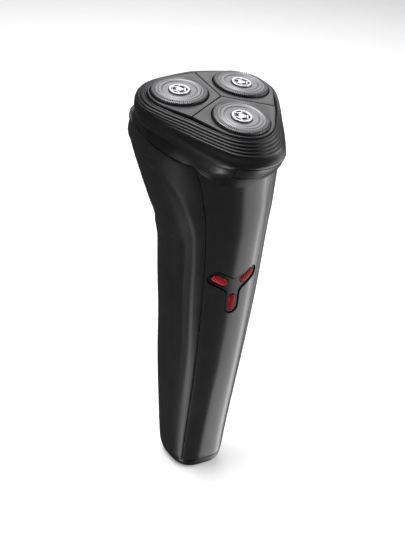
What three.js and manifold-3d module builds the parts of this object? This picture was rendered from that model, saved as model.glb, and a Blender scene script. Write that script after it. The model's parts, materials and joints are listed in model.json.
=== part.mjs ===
// Rotary electric shaver: a tapered handle with a hinged, three-headed shaving unit.
// Millimetres, +Z up. The origin is on the flat base, the front (button side) faces -Y
// and +X is the right-hand side seen from the front.
import * as THREE from "three";
import { mergeVertices } from "three/addons/utils/BufferGeometryUtils.js";
import Module from "manifold-3d";

const wasm = await Module();
wasm.setup();

// ---- Overall sizes ---------------------------------------------------------------------
const HEAD_HEIGHT = 157.5; // base to the middle of the shaving face
const HEAD_FORWARD = 4; // how far the middle of the shaving face stands ahead of the origin
const HEAD_TILT = THREE.MathUtils.degToRad(11); // the shaving face leans forward
const GRIP_HALF_WIDTH = 20.7; // at the neck
const WAIST_HALF_WIDTH = 15.8; // at mid height
const FOOT_HALF_WIDTH = 12.5; // just above the rounded base
const GRIP_FRONT = 24.3; // the front's reach ahead of the origin at the neck
const WAIST_FRONT = 19.9;
const FOOT_FRONT = 12.6;
const GRIP_BACK = 17.2;
const WAIST_BACK = 16.6;
const FOOT_BACK = 13;

// ---- Fits and walls --------------------------------------------------------------------
const FIT_GAP = 0.3; // between pieces that are fixed to each other
const RUN_GAP = 0.4; // between pieces that move past each other
const HOUSING_WALL = 1.8;
const SEAM_GAP = 0.15; // each side of the seam between the front panel and the rear housing
const THROUGH = 40; // length of a cutting tool that goes right through

// ---- Shaving heads ---------------------------------------------------------------------
const GUARD_RADIUS = 10.5;
const GUARD_SPACING = 5.1; // clear width between two guards
const GUARD_PROUD = 1.1; // the guard's face above its plate
const GUARD_SKIRT = 3.2; // how deep the guard's wall reaches below the plate's face
const GUARD_WALL = 0.6;
const GUARD_FLANGE = 0.8; // foot of the guard, which stops it leaving its well
const WELL_GAP = 0.35; // dark ring between a guard and its plate
const CUTTER_TILT = THREE.MathUtils.degToRad(3.8); // each head leans outwards
const CUTTER_CIRCLE = (2 * GUARD_RADIUS + GUARD_SPACING) / Math.sqrt(3);
const TRIM_RADIUS = 4.6;
const PLATE_THICKNESS = 1.5;
const GROOVE_HALF_WIDTH = 0.2;
const BLADE_COUNT = 9;
const SOCKET_RADIUS = 2.3; // drive socket in the cutter's hub
const HUB_WALL = 0.7;
const HUB_LENGTH = 8;
const HUB_FLOOR = 3.6; // depth of the cutter disc's underside

// ---- Head rim and skirt ----------------------------------------------------------------
// Each level: depth below the shaving face, growth of the front and back corner arcs over
// the guard's radius, shift of the front and back corner centres out of the cutter circle,
// and how far the two back centres are moved to the rear.
const level = (depth, grow, front, growBack = grow, back = front, rear = 0) =>
  ({ depth, grow, front, growBack, back, rear });
const RIM_TOP = level(0.8, 3.2, -1.7, 3.5, -1.7);
const RIM_FOOT = level(5.2, 3.7, 2.8, 4.9, -0.3, 1.2);
const SKIRT_WIDE = level(8.2, 6, 3.1, 5.8, -1.2, 1.2);
const SKIRT_TURN = level(11.5, 6.9, 0.8, 4.8, -1.5, 1);
const SKIRT_FOOT = level(15, 7.7, -2, 3.5, -2, 1);
const SKIRT_END = level(19, 7.5, -5.2, 3, -3, 0.5);
const FRAME_TOP = 6.8; // retaining frame under the cutters
const FRAME_FOOT = 8.1;
const LOCK_STEM = 1.4;
const RIM_EDGE = 0.4; // flat top of the rim round the plates
const RIDGES = 5;
const COLLAR_TOP = level(12.2, 7.1, -0.1, 3.1, -1.9);
const COLLAR_MID = level(17.2, 7, -3.3, 3.1, -1.9);
const COLLAR_TURN = level(20, 5.5, -4.7, 2, -3);
const COLLAR_FOOT = level(23, 3.8, -5, 0.5, -6);
// The head parts from the handle on a plane that runs deeper towards the front.
const PARTING_DEPTH = 14.9;
const PARTING_SLOPE = 0.08;
const COLLAR_WALL = 1.2;
const SKIRT_WALL = 1.8;

// ---- Drive -----------------------------------------------------------------------------
const PINION_TEETH = 10;
const GEAR_TEETH = 20;
const SPINDLE_CIRCLE = CUTTER_CIRCLE - 6.5 * Math.sin(CUTTER_TILT);
const GEAR_MODULE = (2 * SPINDLE_CIRCLE) / (PINION_TEETH + GEAR_TEETH);
const GEAR_TOP = 15.4;
const GEAR_THICKNESS = 2;
const SPINDLE_RADIUS = 1.3;
const SPINDLE_TIP = 6;
const PLATE_TOP = 13.6; // drive plate, the floor of the hair chamber
const DRIVE_PLATE_THICKNESS = 1.2;
const DRIVE_PLATE = level(PLATE_TOP, 4, -2, 1.2, -2);
const SCREW = { across: 11, along: -6.5, shank: 1.1, head: 2.1, headHeight: 0.9 };
const MOTOR_RADIUS = 9.5;
const MOTOR_LENGTH = 20;
const MOTOR_TOP = 20.6;
const MOTOR_SHAFT_RADIUS = 1;
const ROTOR_RADIUS = 6.5;

// ---- Hinge and release button ----------------------------------------------------------
const HINGE_DEPTH = 9.5;
const KNUCKLE_RADIUS = 2.2;
const KNUCKLE_HALF = 6.6;
const EAR_WIDTH = 4;
const PIN_RADIUS = 0.9;
const TAB_HALF_WIDTH = 9;
const TAB_TOP = 9.6;
const TAB_FOOT = 14.2;
const TAB_THICKNESS = 1.8;
const TONGUE_LENGTH = 7.5;

// ---- Power button ----------------------------------------------------------------------
const BUTTON_HEIGHT = 89.8;
const BUTTON_ARM = 11.3; // centre to arm tip
const BUTTON_HALF_WIDTH = 2.6;
const BUTTON_SUNK = 0.5; // the button's face below the panel's face
const BUTTON_THICKNESS = 3;
const INSERT_HALF_WIDTH = 1.6;
const INSERT_START = 3.2;
const INSERT_DEPTH = 1.4;
const INSERT_END = BUTTON_ARM - 0.7;
const LIGHT_HEIGHT = 68; // charge light
const LIGHT_RADIUS = 0.9;
const LIGHT_LENGTH = 5;

// ---- Inside the handle -----------------------------------------------------------------
const BATTERY_RADIUS = 7.1;
const BATTERY_LENGTH = 50;
const BATTERY_FOOT = 18;
const BOARD_WIDTH = 18;
const BOARD_THICKNESS = 1.2;
const BOARD_LENGTH = 46;
const BOARD_SETBACK = 8; // board's front face behind the panel's face
const CAP_HEIGHT = 3.5;
const CAP_FLOOR = 2;
const SOCKET_SIZE = new THREE.Vector2(9.4, 5.8);
const SOCKET_DEPTH = 10.5;
const SOCKET_BACK = 4; // socket's middle behind the origin
const SOCKET_WALL = 1;
const CONTACT_RADIUS = 0.9;
const CONTACT_SPACING = 4.8;
const CONTACT_SUNK = 4.8; // contact tips above the base

// ---- Solids and meshes -----------------------------------------------------------------
function solid(geometry, matrix) {
  const bare = new THREE.BufferGeometry();
  bare.setAttribute("position", geometry.getAttribute("position").clone());
  if (geometry.index) bare.setIndex(geometry.index);
  if (matrix) bare.applyMatrix4(matrix);
  const merged = mergeVertices(bare, 1e-4);
  return new wasm.Manifold(
    new wasm.Mesh({
      numProp: 3,
      vertProperties: new Float32Array(merged.attributes.position.array),
      triVerts: new Uint32Array(merged.index.array),
    }),
  );
}

function geometryOf(body) {
  const m = body.getMesh();
  const points = new Float32Array(m.numVert * 3);
  for (let i = 0; i < m.numVert; i++) {
    points.set(m.vertProperties.subarray(i * m.numProp, i * m.numProp + 3), i * 3);
  }
  const geometry = new THREE.BufferGeometry();
  geometry.setAttribute("position", new THREE.BufferAttribute(points, 3));
  geometry.setIndex(new THREE.BufferAttribute(m.triVerts, 1));
  geometry.computeVertexNormals();
  return geometry;
}

function add(parent, name, shape, finish) {
  const geometry = shape.isBufferGeometry ? shape : geometryOf(shape);
  const mesh = new THREE.Mesh(geometry, new THREE.MeshStandardMaterial(finish));
  mesh.name = name;
  parent.add(mesh);
  return mesh;
}

// Rings of points from the lowest to the highest, each counter-clockwise seen from above.
function loft(rings) {
  const count = rings[0].length;
  const points = rings.flat();
  const faces = [];
  for (let level = 0; level < rings.length - 1; level++) {
    for (let i = 0; i < count; i++) {
      const a = level * count + i;
      const b = level * count + ((i + 1) % count);
      faces.push(a, b, b + count, a, b + count, a + count);
    }
  }
  for (const level of [0, rings.length - 1]) {
    const middle = rings[level].reduce((sum, p) => sum.add(p), new THREE.Vector3());
    points.push(middle.divideScalar(count));
    for (let i = 0; i < count; i++) {
      const a = level * count + i;
      const b = level * count + ((i + 1) % count);
      if (level === 0) faces.push(points.length - 1, b, a);
      else faces.push(points.length - 1, a, b);
    }
  }
  const geometry = new THREE.BufferGeometry().setFromPoints(points);
  geometry.setIndex(faces);
  return geometry;
}

// A turned solid about Z. The profile lists radius and height, counter-clockwise in the
// half plane, and starts and ends on the axis or closes on itself.
function turned(profile, segments = 24) {
  const points = profile.map(([radius, height]) => new THREE.Vector2(radius, height));
  return new THREE.LatheGeometry(points, segments).rotateX(Math.PI / 2);
}

function disc(radius, low, high, segments = 24) {
  return turned([[0, low], [radius, low], [radius, high], [0, high]], segments);
}

function tube(outer, inner, low, high, segments = 24) {
  return turned([[inner, low], [outer, low], [outer, high], [inner, high], [inner, low]], segments);
}

// A box from its lowest to its highest corner.
function block(low, high) {
  const size = new THREE.Vector3().subVectors(high, low);
  const middle = new THREE.Vector3().addVectors(low, high).multiplyScalar(0.5);
  return new THREE.BoxGeometry(size.x, size.y, size.z).translate(middle.x, middle.y, middle.z);
}

function prism(shape, low, high, curveSegments = 8) {
  const options = { depth: high - low, bevelEnabled: false, curveSegments };
  return new THREE.ExtrudeGeometry(shape, options).translate(0, 0, low);
}

const at = (x, y, z) => new THREE.Vector3(x, y, z);

// A round wire wound about Z.
function coil(radius, wire, low, high, turns) {
  const stepsPerTurn = 7;
  class Helix extends THREE.Curve {
    getPoint(t) {
      const angle = t * turns * 2 * Math.PI;
      return at(radius * Math.cos(angle), radius * Math.sin(angle), low + wire + t * (high - low - 2 * wire));
    }
  }
  const corners = [0, 1, 2, 3, 4].map((i) => (i * 2 * Math.PI) / 5);
  const section = new THREE.Shape(
    corners.map((angle) => new THREE.Vector2(wire * Math.cos(angle), wire * Math.sin(angle))));
  return new THREE.ExtrudeGeometry(section, {
    steps: Math.round(turns * stepsPerTurn),
    extrudePath: new Helix(),
  });
}

// ---- Handle outline --------------------------------------------------------------------
// Each section: height, half width, front and back reach, place of the widest point and
// the squareness of the front half and of the rear half (2 is an ellipse).
const FOOT_HEIGHT = 12;
const WAIST_HEIGHT = 57;
// Height above the base and how far the sides and the back are drawn in there.
const BASE_ROUNDING = [[0, 3.2], [0.6, 2.5], [2, 1.6], [CAP_HEIGHT, 1.1], [5, 0.7], [8, 0.3]];
const FRONT_ROUNDING = 0.35; // share of the base's rounding that the front has
const NECK_DROP = 47; // the sections near the head are placed below the shaving face
const SIDE_REACH =
  (CUTTER_CIRCLE + COLLAR_TOP.back) * Math.cos(Math.PI / 6) + GUARD_RADIUS + COLLAR_TOP.growBack;
const SHOULDER_HALF_WIDTH = SIDE_REACH + FIT_GAP + HOUSING_WALL;
const SHOULDER_BACK = 26;

function sectionAt(height, halfWidth, front, back, widest, frontPower, backPower) {
  return { height, halfWidth, front, back, widest, frontPower, backPower };
}

const SECTIONS = [
  ...BASE_ROUNDING.map(([height, inset]) => sectionAt(height, FOOT_HALF_WIDTH - inset,
    FOOT_FRONT - FRONT_ROUNDING * inset, FOOT_BACK - inset, 0, 3, 3)),
  sectionAt(FOOT_HEIGHT, FOOT_HALF_WIDTH, FOOT_FRONT, FOOT_BACK, -0.1, 2.5, 3),
  sectionAt(WAIST_HEIGHT, WAIST_HALF_WIDTH, WAIST_FRONT, WAIST_BACK, -1.6, 2.3, 2.6),
  sectionAt((WAIST_HEIGHT + HEAD_HEIGHT - NECK_DROP) / 2,
    (WAIST_HALF_WIDTH + GRIP_HALF_WIDTH) / 2 + 0.1,
    (WAIST_FRONT + GRIP_FRONT) / 2 + 0.4,
    (WAIST_BACK + GRIP_BACK) / 2,
    -2.5, 2.2, 2.5),
  sectionAt(HEAD_HEIGHT - NECK_DROP, GRIP_HALF_WIDTH, GRIP_FRONT, GRIP_BACK, -3.5, 2.1, 2.4),
  sectionAt(HEAD_HEIGHT - 40, GRIP_HALF_WIDTH + 1.8, GRIP_FRONT - 0.2, GRIP_BACK + 2, -2, 2.1, 2.6),
  sectionAt(HEAD_HEIGHT - 31, SHOULDER_HALF_WIDTH - 2.4, GRIP_FRONT - 0.5, SHOULDER_BACK - 4.6,
    0, 2, 3),
  sectionAt(HEAD_HEIGHT - 21.5, SHOULDER_HALF_WIDTH - 0.6, GRIP_FRONT - 0.6, SHOULDER_BACK - 1.4,
    2, 2, 3.5),
  sectionAt(HEAD_HEIGHT - 15.5, SHOULDER_HALF_WIDTH, GRIP_FRONT - 0.8, SHOULDER_BACK, 3.4, 2, 3.8),
  sectionAt(HEAD_HEIGHT - 12, SHOULDER_HALF_WIDTH - 0.7, GRIP_FRONT - 0.8, SHOULDER_BACK - 0.5, 4, 2, 4),
  sectionAt(HEAD_HEIGHT - 2, SHOULDER_HALF_WIDTH - 1.4, GRIP_FRONT - 0.8, SHOULDER_BACK - 1, 4, 2, 4),
];

function handleRing(section, inset) {
  const count = 28;
  const halfWidth = section.halfWidth - inset;
  const ring = [];
  for (let i = 0; i < count; i++) {
    const angle = (2 * Math.PI * i) / count;
    const across = Math.sin(angle);
    const along = Math.cos(angle);
    const power = 2 / (along >= 0 ? section.frontPower : section.backPower);
    const reach = along >= 0 ? section.front + section.widest - inset : section.back - section.widest - inset;
    ring.push(at(
      halfWidth * Math.sign(across) * Math.abs(across) ** power,
      section.widest - reach * Math.sign(along) * Math.abs(along) ** power,
      section.height,
    ));
  }
  return ring;
}

const handleSolid = (inset, sections = SECTIONS) => solid(loft(sections.map((s) => handleRing(s, inset))));

// Front of the handle at a height, on the middle line.
function frontAt(height) {
  const next = SECTIONS.findIndex((s) => s.height >= height);
  const a = SECTIONS[next - 1];
  const b = SECTIONS[next];
  const share = (height - a.height) / (b.height - a.height);
  return -(a.front + share * (b.front - a.front));
}

// ---- Head outline ----------------------------------------------------------------------
const DIRECTIONS = [-90, 30, 150].map((angle) => THREE.MathUtils.degToRad(angle));
const SIDES = ["front", "right", "left"];

// How far the three leaning plates stand above or below the shaving face at a point.
function plateLift(x, y) {
  const along = Math.max(...DIRECTIONS.map((a) => x * Math.cos(a) + y * Math.sin(a)));
  return (CUTTER_CIRCLE - along) * Math.tan(CUTTER_TILT);
}

const CORNER_SWEEP = 52; // degrees each side of a corner's middle; the rest is the bowed side

function headRing(outline, { inset = 0, lift = 0, arcSteps = 6 } = {}) {
  const corners = DIRECTIONS.map((direction, corner) => {
    const radius = GUARD_RADIUS + (corner === 0 ? outline.grow : outline.growBack) - inset;
    const reach = CUTTER_CIRCLE + (corner === 0 ? outline.front : outline.back);
    const rear = corner === 0 ? 0 : outline.rear;
    const arc = [];
    for (let i = 0; i <= arcSteps; i++) {
      const angle = direction + THREE.MathUtils.degToRad(CORNER_SWEEP * ((2 * i) / arcSteps - 1));
      arc.push(new THREE.Vector2(
        reach * Math.cos(direction) + radius * Math.cos(angle),
        reach * Math.sin(direction) + radius * Math.sin(angle) + rear,
      ));
    }
    return arc;
  });
  const ring = [];
  corners.forEach((arc, corner) => {
    const next = corners[(corner + 1) % corners.length];
    const chord = new THREE.Vector2().subVectors(next[0], arc.at(-1));
    const bow = (chord.length() * Math.tan(THREE.MathUtils.degToRad(60 - CORNER_SWEEP) / 2)) / 2;
    const outwards = new THREE.Vector2(chord.y, -chord.x).setLength(bow);
    ring.push(...arc, arc.at(-1).clone().addScaledVector(chord, 0.5).add(outwards));
  });
  return ring.map(({ x, y }) => at(x, y, -outline.depth + lift * plateLift(x, y)));
}

const between = (a, b, share) =>
  Object.fromEntries(Object.keys(a).map((key) => [key, a[key] + share * (b[key] - a[key])]));

// The rim at a share of its depth: even at the front, but the back corners swell out early.
function rimLevel(share) {
  const even = between(RIM_TOP, RIM_FOOT, share);
  const { growBack, back, rear } = between(RIM_TOP, RIM_FOOT, 1 - (1 - share) ** 3);
  return { ...even, growBack, back, rear };
}

const deeper = (outline, depth) => ({ ...outline, depth });

// A solid above the parting plane, or below it, at a distance from it.
function partingTool(offset, above) {
  const [low, high] = above ? [offset, THROUGH] : [-THROUGH, offset];
  const tool = block(at(-THROUGH, -THROUGH, low), at(THROUGH, THROUGH, high));
  return solid(tool.rotateX(Math.atan(PARTING_SLOPE)).translate(0, 0, -PARTING_DEPTH));
}

const backSide = (outline) =>
  (CUTTER_CIRCLE + outline.back) / 2 + outline.rear + GUARD_RADIUS + outline.growBack + 0.6;
const HINGE_BACK = backSide(SKIRT_WIDE) + RUN_GAP + KNUCKLE_RADIUS;

const headMatrix = new THREE.Matrix4().makeRotationX(HEAD_TILT);
headMatrix.setPosition(0, -HEAD_FORWARD, HEAD_HEIGHT);

function crossPin(radius, low, high, segments = 20) {
  return disc(radius, low, high, segments).rotateY(Math.PI / 2).translate(0, HINGE_BACK, -HINGE_DEPTH);
}

// ---- Handle pieces ---------------------------------------------------------------------
const COLLAR_LEVELS = [COLLAR_FOOT, COLLAR_TURN, COLLAR_MID, COLLAR_TOP];

function collarSolid(grown) {
  return solid(loft(COLLAR_LEVELS.map((outline, i) => {
    const end = i === 0 ? grown : 0;
    return headRing(deeper(outline, outline.depth + end), { inset: -grown });
  })));
}

// The collar ends at the parting plane, but rises under the release button.
function neckCollar() {
  const hollow = COLLAR_LEVELS.map((outline, i) => {
    const end = [1, 0, 0, -1][i];
    return headRing(deeper(outline, outline.depth + end), { inset: COLLAR_WALL });
  });
  const half = TAB_HALF_WIDTH;
  const sill = block(at(-half, -THROUGH, -THROUGH), at(half, -SPINDLE_CIRCLE, THROUGH));
  return collarSolid(0)
    .subtract(solid(loft(hollow)))
    .subtract(partingTool(-FIT_GAP, true).subtract(solid(sill)))
    .subtract(solid(tabRoom(TAB_FOOT)));
}

// The body's half outline of the front panel, from its foot to the neck.
const PANEL_EDGE = [[0, 9.1], [36, 9.9], [57, 10.4], [76, 11], [94, 11.6], [HEAD_HEIGHT - 43, 12.6],
  [HEAD_HEIGHT - 27, 14.8], [HEAD_HEIGHT - 20, 17], [HEAD_HEIGHT, 24]];

function panelCutter(grown) {
  const right = PANEL_EDGE.map(([height, half]) => new THREE.Vector2(half + grown, height));
  const left = PANEL_EDGE.map(([height, half]) => new THREE.Vector2(-half - grown, height)).reverse();
  return solid(prism(new THREE.Shape([...right, ...left]), 0, THROUGH).rotateX(Math.PI / 2));
}

function housingShell() {
  const above = SECTIONS.filter((s) => s.height >= CAP_HEIGHT);
  const lowest = { ...above[0], height: CAP_HEIGHT + FIT_GAP };
  const outer = handleSolid(0, [lowest, ...above.slice(1)]);
  const inner = handleSolid(HOUSING_WALL, [{ ...lowest, height: CAP_HEIGHT - 1 }, ...above.slice(1),
    { ...above.at(-1), height: HEAD_HEIGHT + 1 }]);
  const top = partingTool(-FIT_GAP, true).transform([...headMatrix.elements]);
  return { outer, shell: outer.subtract(inner), top };
}

function handleShells() {
  const { outer, shell, top } = housingShell();
  const collar = collarSolid(FIT_GAP).transform([...headMatrix.elements]);
  const ledge = block(at(-12, backSide(COLLAR_TOP), -17), at(12, THROUGH, -THROUGH / 4));
  const walls = shell.add(solid(ledge, headMatrix).intersect(outer)).subtract(top).subtract(collar);
  const bore = crossPin(PIN_RADIUS + FIT_GAP, -THROUGH, THROUGH);
  let rear = walls.subtract(panelCutter(SEAM_GAP));
  for (const side of [-1, 1]) {
    const inner = side * (KNUCKLE_HALF + RUN_GAP);
    const outside = side * (KNUCKLE_HALF + RUN_GAP + EAR_WIDTH);
    const [low, high] = [Math.min(inner, outside), Math.max(inner, outside)];
    const web = block(
      at(low, HINGE_BACK - KNUCKLE_RADIUS, -PARTING_DEPTH),
      at(high, HINGE_BACK + KNUCKLE_RADIUS - 1.2, -HINGE_DEPTH),
    );
    rear = rear.add(solid(crossPin(KNUCKLE_RADIUS, low, high), headMatrix)).add(solid(web, headMatrix));
  }
  rear = rear.subtract(solid(bore, headMatrix));
  const front = walls.intersect(panelCutter(-SEAM_GAP));
  return { rear, front };
}

function bottomCap() {
  const sections = SECTIONS.filter((s) => s.height <= CAP_HEIGHT);
  const body = handleSolid(0, sections);
  const rim = sections.at(-2);
  const hollow = handleSolid(HOUSING_WALL, [CAP_FLOOR, CAP_HEIGHT + 1].map((height) => ({ ...rim, height })));
  return body.subtract(hollow).subtract(solid(socketBlock(0, -1, SOCKET_DEPTH)));
}

function socketBlock(grown, low, high) {
  const half = SOCKET_SIZE.clone().multiplyScalar(0.5).addScalar(grown);
  return block(at(-half.x, SOCKET_BACK - half.y, low), at(half.x, SOCKET_BACK + half.y, high));
}

function chargingSocket() {
  let body = solid(socketBlock(SOCKET_WALL, CAP_FLOOR + FIT_GAP, SOCKET_DEPTH + SOCKET_WALL));
  body = body.subtract(solid(socketBlock(0, 0, SOCKET_DEPTH)));
  for (const side of [-1, 1]) {
    const hole = disc(CONTACT_RADIUS + FIT_GAP, 0, THROUGH, 12);
    body = body.subtract(solid(hole.translate((side * CONTACT_SPACING) / 2, SOCKET_BACK, 0)));
  }
  return body;
}

function chassis() {
  const shelfFront = -BATTERY_RADIUS - 1;
  const plate = block(at(-6, shelfFront - 1.5, BATTERY_FOOT - 4), at(6, shelfFront, HEAD_HEIGHT - 46));
  let body = solid(plate);
  for (const low of [BATTERY_FOOT - 4, BATTERY_FOOT + BATTERY_LENGTH + 2]) {
    body = body.add(solid(block(at(-6, shelfFront - 1, low), at(6, BATTERY_RADIUS, low + 1.5))));
  }
  return body;
}

// ---- Drive pieces, in the head's own frame ---------------------------------------------
function gearShape(teeth, bore) {
  const pitch = (teeth * GEAR_MODULE) / 2;
  const root = pitch - 1.1 * GEAR_MODULE;
  const tip = pitch + 0.8 * GEAR_MODULE;
  const step = (2 * Math.PI) / teeth;
  const corners = [];
  for (let tooth = 0; tooth < teeth; tooth++) {
    for (const [radius, share] of [[root, -0.3], [tip, -0.11], [tip, 0.11], [root, 0.3]]) {
      const angle = (tooth + share) * step;
      corners.push(new THREE.Vector2(radius * Math.cos(angle), radius * Math.sin(angle)));
    }
  }
  const shape = new THREE.Shape(corners);
  shape.holes.push(new THREE.Path().absarc(0, 0, bore, 0, 2 * Math.PI, true));
  return shape;
}

function gear(teeth, bore, turn) {
  return prism(gearShape(teeth, bore), -GEAR_TOP - GEAR_THICKNESS, -GEAR_TOP, 6).rotateZ(turn);
}

function drivePlate() {
  const foot = PLATE_TOP + DRIVE_PLATE_THICKNESS;
  const rings = [deeper(DRIVE_PLATE, foot), DRIVE_PLATE].map((outline) => headRing(outline));
  let body = solid(loft(rings));
  for (const direction of DIRECTIONS) {
    const hole = disc(3.4, -THROUGH, THROUGH, 14).translate(
      SPINDLE_CIRCLE * Math.cos(direction), SPINDLE_CIRCLE * Math.sin(direction), 0);
    body = body.subtract(solid(hole));
  }
  for (const side of [-1, 1]) {
    body = body.subtract(solid(disc(SCREW.shank + FIT_GAP, -THROUGH, THROUGH, 12)
      .translate(side * SCREW.across, SCREW.along, 0)));
  }
  return body;
}

function screw() {
  const top = -PLATE_TOP + FIT_GAP + SCREW.headHeight;
  const seat = -PLATE_TOP + FIT_GAP;
  const foot = -MOTOR_TOP + 2.3;
  return turned([[0, foot], [SCREW.shank, foot], [SCREW.shank, seat], [SCREW.head, seat],
    [SCREW.head, top], [1, top], [1, top - 0.5], [0, top - 0.5]], 10);
}

function spindle() {
  const foot = -GEAR_TOP - GEAR_THICKNESS - 0.5;
  const stop = -PLATE_TOP + 3;
  return turned([[0, foot], [1.6, foot], [1.6, stop], [2.9, stop], [2.9, stop + 0.8],
    [SPINDLE_RADIUS, stop + 0.8], [SPINDLE_RADIUS, -SPINDLE_TIP], [0, -SPINDLE_TIP]], 12);
}

function motorCan() {
  const foot = -MOTOR_TOP - MOTOR_LENGTH;
  const hole = MOTOR_SHAFT_RADIUS + 1.2;
  const wall = 0.9;
  return turned([[0, foot], [MOTOR_RADIUS, foot], [MOTOR_RADIUS, -MOTOR_TOP], [hole, -MOTOR_TOP],
    [hole, -MOTOR_TOP - wall], [MOTOR_RADIUS - wall, -MOTOR_TOP - wall],
    [MOTOR_RADIUS - wall, foot + wall], [0, foot + wall]], 18);
}

function motorRotor() {
  const foot = -MOTOR_TOP - MOTOR_LENGTH + 2.2;
  const top = -MOTOR_TOP - 3;
  const tip = -GEAR_TOP + 0.2;
  return turned([[0, foot], [ROTOR_RADIUS, foot], [ROTOR_RADIUS, top], [MOTOR_SHAFT_RADIUS, top],
    [MOTOR_SHAFT_RADIUS, tip], [0, tip]], 14);
}

// ---- Shaving unit pieces ---------------------------------------------------------------
// Room for the release button and its travel, down to a depth.
function tabRoom(foot) {
  const half = TAB_HALF_WIDTH + RUN_GAP;
  const inner = CUTTER_CIRCLE + GUARD_RADIUS - 1;
  return block(at(-half, -THROUGH, -foot - RUN_GAP), at(half, -inner, -TAB_TOP + RUN_GAP));
}

function skirtLevels() {
  const levels = [SKIRT_END, SKIRT_FOOT, SKIRT_TURN, SKIRT_WIDE];
  const step = (RIM_FOOT.depth - RIM_TOP.depth) / RIDGES;
  for (let ridge = RIDGES; ridge > 0; ridge--) {
    const outline = rimLevel(ridge / RIDGES);
    levels.push(outline, deeper(outline, outline.depth - 0.75 * step));
  }
  levels.push(RIM_TOP);
  return levels;
}

function headShell() {
  const fade = ({ depth }) => THREE.MathUtils.clamp(1 - (depth - RIM_TOP.depth) / SKIRT_WIDE.depth, 0, 1);
  const body = solid(loft(skirtLevels().map((outline) => headRing(outline, { lift: fade(outline) }))));
  const pocket = level(PLATE_THICKNESS + FIT_GAP, RIM_TOP.grow - RIM_EDGE, RIM_TOP.front);
  const plateRoom = loft([pocket, deeper(pocket, -4)].map((outline) => headRing(outline, { lift: 1 })));
  const well = level(8.5, GUARD_FLANGE + RUN_GAP, 0);
  const chamber = loft([
    headRing(deeper(SKIRT_END, SKIRT_END.depth + 1), { inset: SKIRT_WALL }),
    headRing(SKIRT_FOOT, { inset: SKIRT_WALL }),
    headRing(deeper(SKIRT_TURN, 10.5), { inset: SKIRT_WALL }),
    headRing(well),
    headRing(deeper(well, PLATE_THICKNESS - 1), { lift: 1 }),
  ]);
  const web = block(
    at(-KNUCKLE_HALF, backSide(SKIRT_WIDE) - 1.6, -HINGE_DEPTH - 1.5),
    at(KNUCKLE_HALF, HINGE_BACK, -HINGE_DEPTH + 1.5),
  );
  return body
    .subtract(partingTool(0, false))
    .subtract(solid(plateRoom))
    .subtract(solid(chamber))
    .subtract(solid(tabRoom(THROUGH)))
    .add(solid(web))
    .add(solid(crossPin(KNUCKLE_RADIUS, -KNUCKLE_HALF, KNUCKLE_HALF)))
    .subtract(solid(crossPin(PIN_RADIUS + FIT_GAP, -THROUGH, THROUGH)));
}

// One of the three plates, in the frame of its own shaving head.
function sectorPlate() {
  const radius = GUARD_RADIUS + RIM_TOP.grow - RIM_EDGE - FIT_GAP;
  const centre = CUTTER_CIRCLE + RIM_TOP.front;
  const side = centre / 2 + radius;
  const shift = GROOVE_HALF_WIDTH / Math.sin(Math.PI / 3);
  const groove = THREE.MathUtils.degToRad(30);
  const outline = new THREE.Shape();
  outline.moveTo(0, -shift);
  outline.lineTo(-side * Math.cos(groove), -side * Math.sin(groove) - shift);
  outline.absarc(0, -centre, radius, Math.PI + groove, 2 * Math.PI - groove, false);
  outline.lineTo(side * Math.cos(groove), -side * Math.sin(groove) - shift);
  outline.closePath();
  const hole = new THREE.Path().absarc(0, -CUTTER_CIRCLE, GUARD_RADIUS + WELL_GAP, 0, 2 * Math.PI, true);
  outline.holes.push(hole);
  return prism(outline, -PLATE_THICKNESS, 0, 10).translate(0, CUTTER_CIRCLE, 0);
}

function guard() {
  const r = GUARD_RADIUS;
  const top = GUARD_PROUD;
  const under = top - 0.8;
  const hole = TRIM_RADIUS + FIT_GAP;
  return turned([
    [hole, under], [r - GUARD_WALL, under], [r - GUARD_WALL, -GUARD_SKIRT], [r + GUARD_FLANGE, -GUARD_SKIRT],
    [r + GUARD_FLANGE, -PLATE_THICKNESS - FIT_GAP - 0.5], [r, -PLATE_THICKNESS - FIT_GAP - 0.5],
    [r, top - 0.5], [r - 0.5, top], [hole + 2.3, top], [hole, top - 0.35],
    [hole, under],
  ], 24);
}

function trimCap() {
  const top = GUARD_PROUD + 0.3;
  const foot = GUARD_PROUD - 0.8 - FIT_GAP;
  return turned([[0, foot - 0.5], [TRIM_RADIUS + 0.8, foot - 0.5], [TRIM_RADIUS + 0.8, foot],
    [TRIM_RADIUS, foot], [TRIM_RADIUS, top], [0, top]], 20);
}

function cutter() {
  const outer = GUARD_RADIUS - GUARD_WALL - 0.6;
  const inner = outer - 2;
  const hub = SOCKET_RADIUS + HUB_WALL;
  const floor = -HUB_FLOOR;
  const low = floor - GUARD_WALL;
  let body = solid(turned([[SOCKET_RADIUS, -HUB_LENGTH], [hub, -HUB_LENGTH], [hub, low], [outer, low],
    [outer, floor + 0.5], [inner, floor + 0.5], [inner, floor], [0, floor], [0, low],
    [SOCKET_RADIUS, low], [SOCKET_RADIUS, -HUB_LENGTH]], 16));
  for (let blade = 0; blade < BLADE_COUNT; blade++) {
    const fin = block(at(inner + 0.1, -0.35, floor + 0.2), at(outer - 0.1, 0.35, GUARD_PROUD - 1.2));
    body = body.add(solid(fin.rotateZ((2 * Math.PI * blade) / BLADE_COUNT)));
  }
  return body;
}

function retainingFrame() {
  const [low, high] = [-FRAME_FOOT, -FRAME_TOP];
  let body = solid(disc(6.5, low, high));
  const holes = [];
  for (const direction of DIRECTIONS) {
    const [x, y] = [CUTTER_CIRCLE * Math.cos(direction), CUTTER_CIRCLE * Math.sin(direction)];
    body = body.add(solid(disc(GUARD_RADIUS + GUARD_FLANGE, low, high, 20).translate(x, y, 0)));
    holes.push(solid(disc(GUARD_RADIUS - 2.3, low - 1, high + 1, 20).translate(x, y, 0)));
  }
  for (const hole of holes) body = body.subtract(hole);
  return body.subtract(solid(disc(LOCK_STEM + RUN_GAP, low - 1, high + 1, 14)));
}

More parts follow.
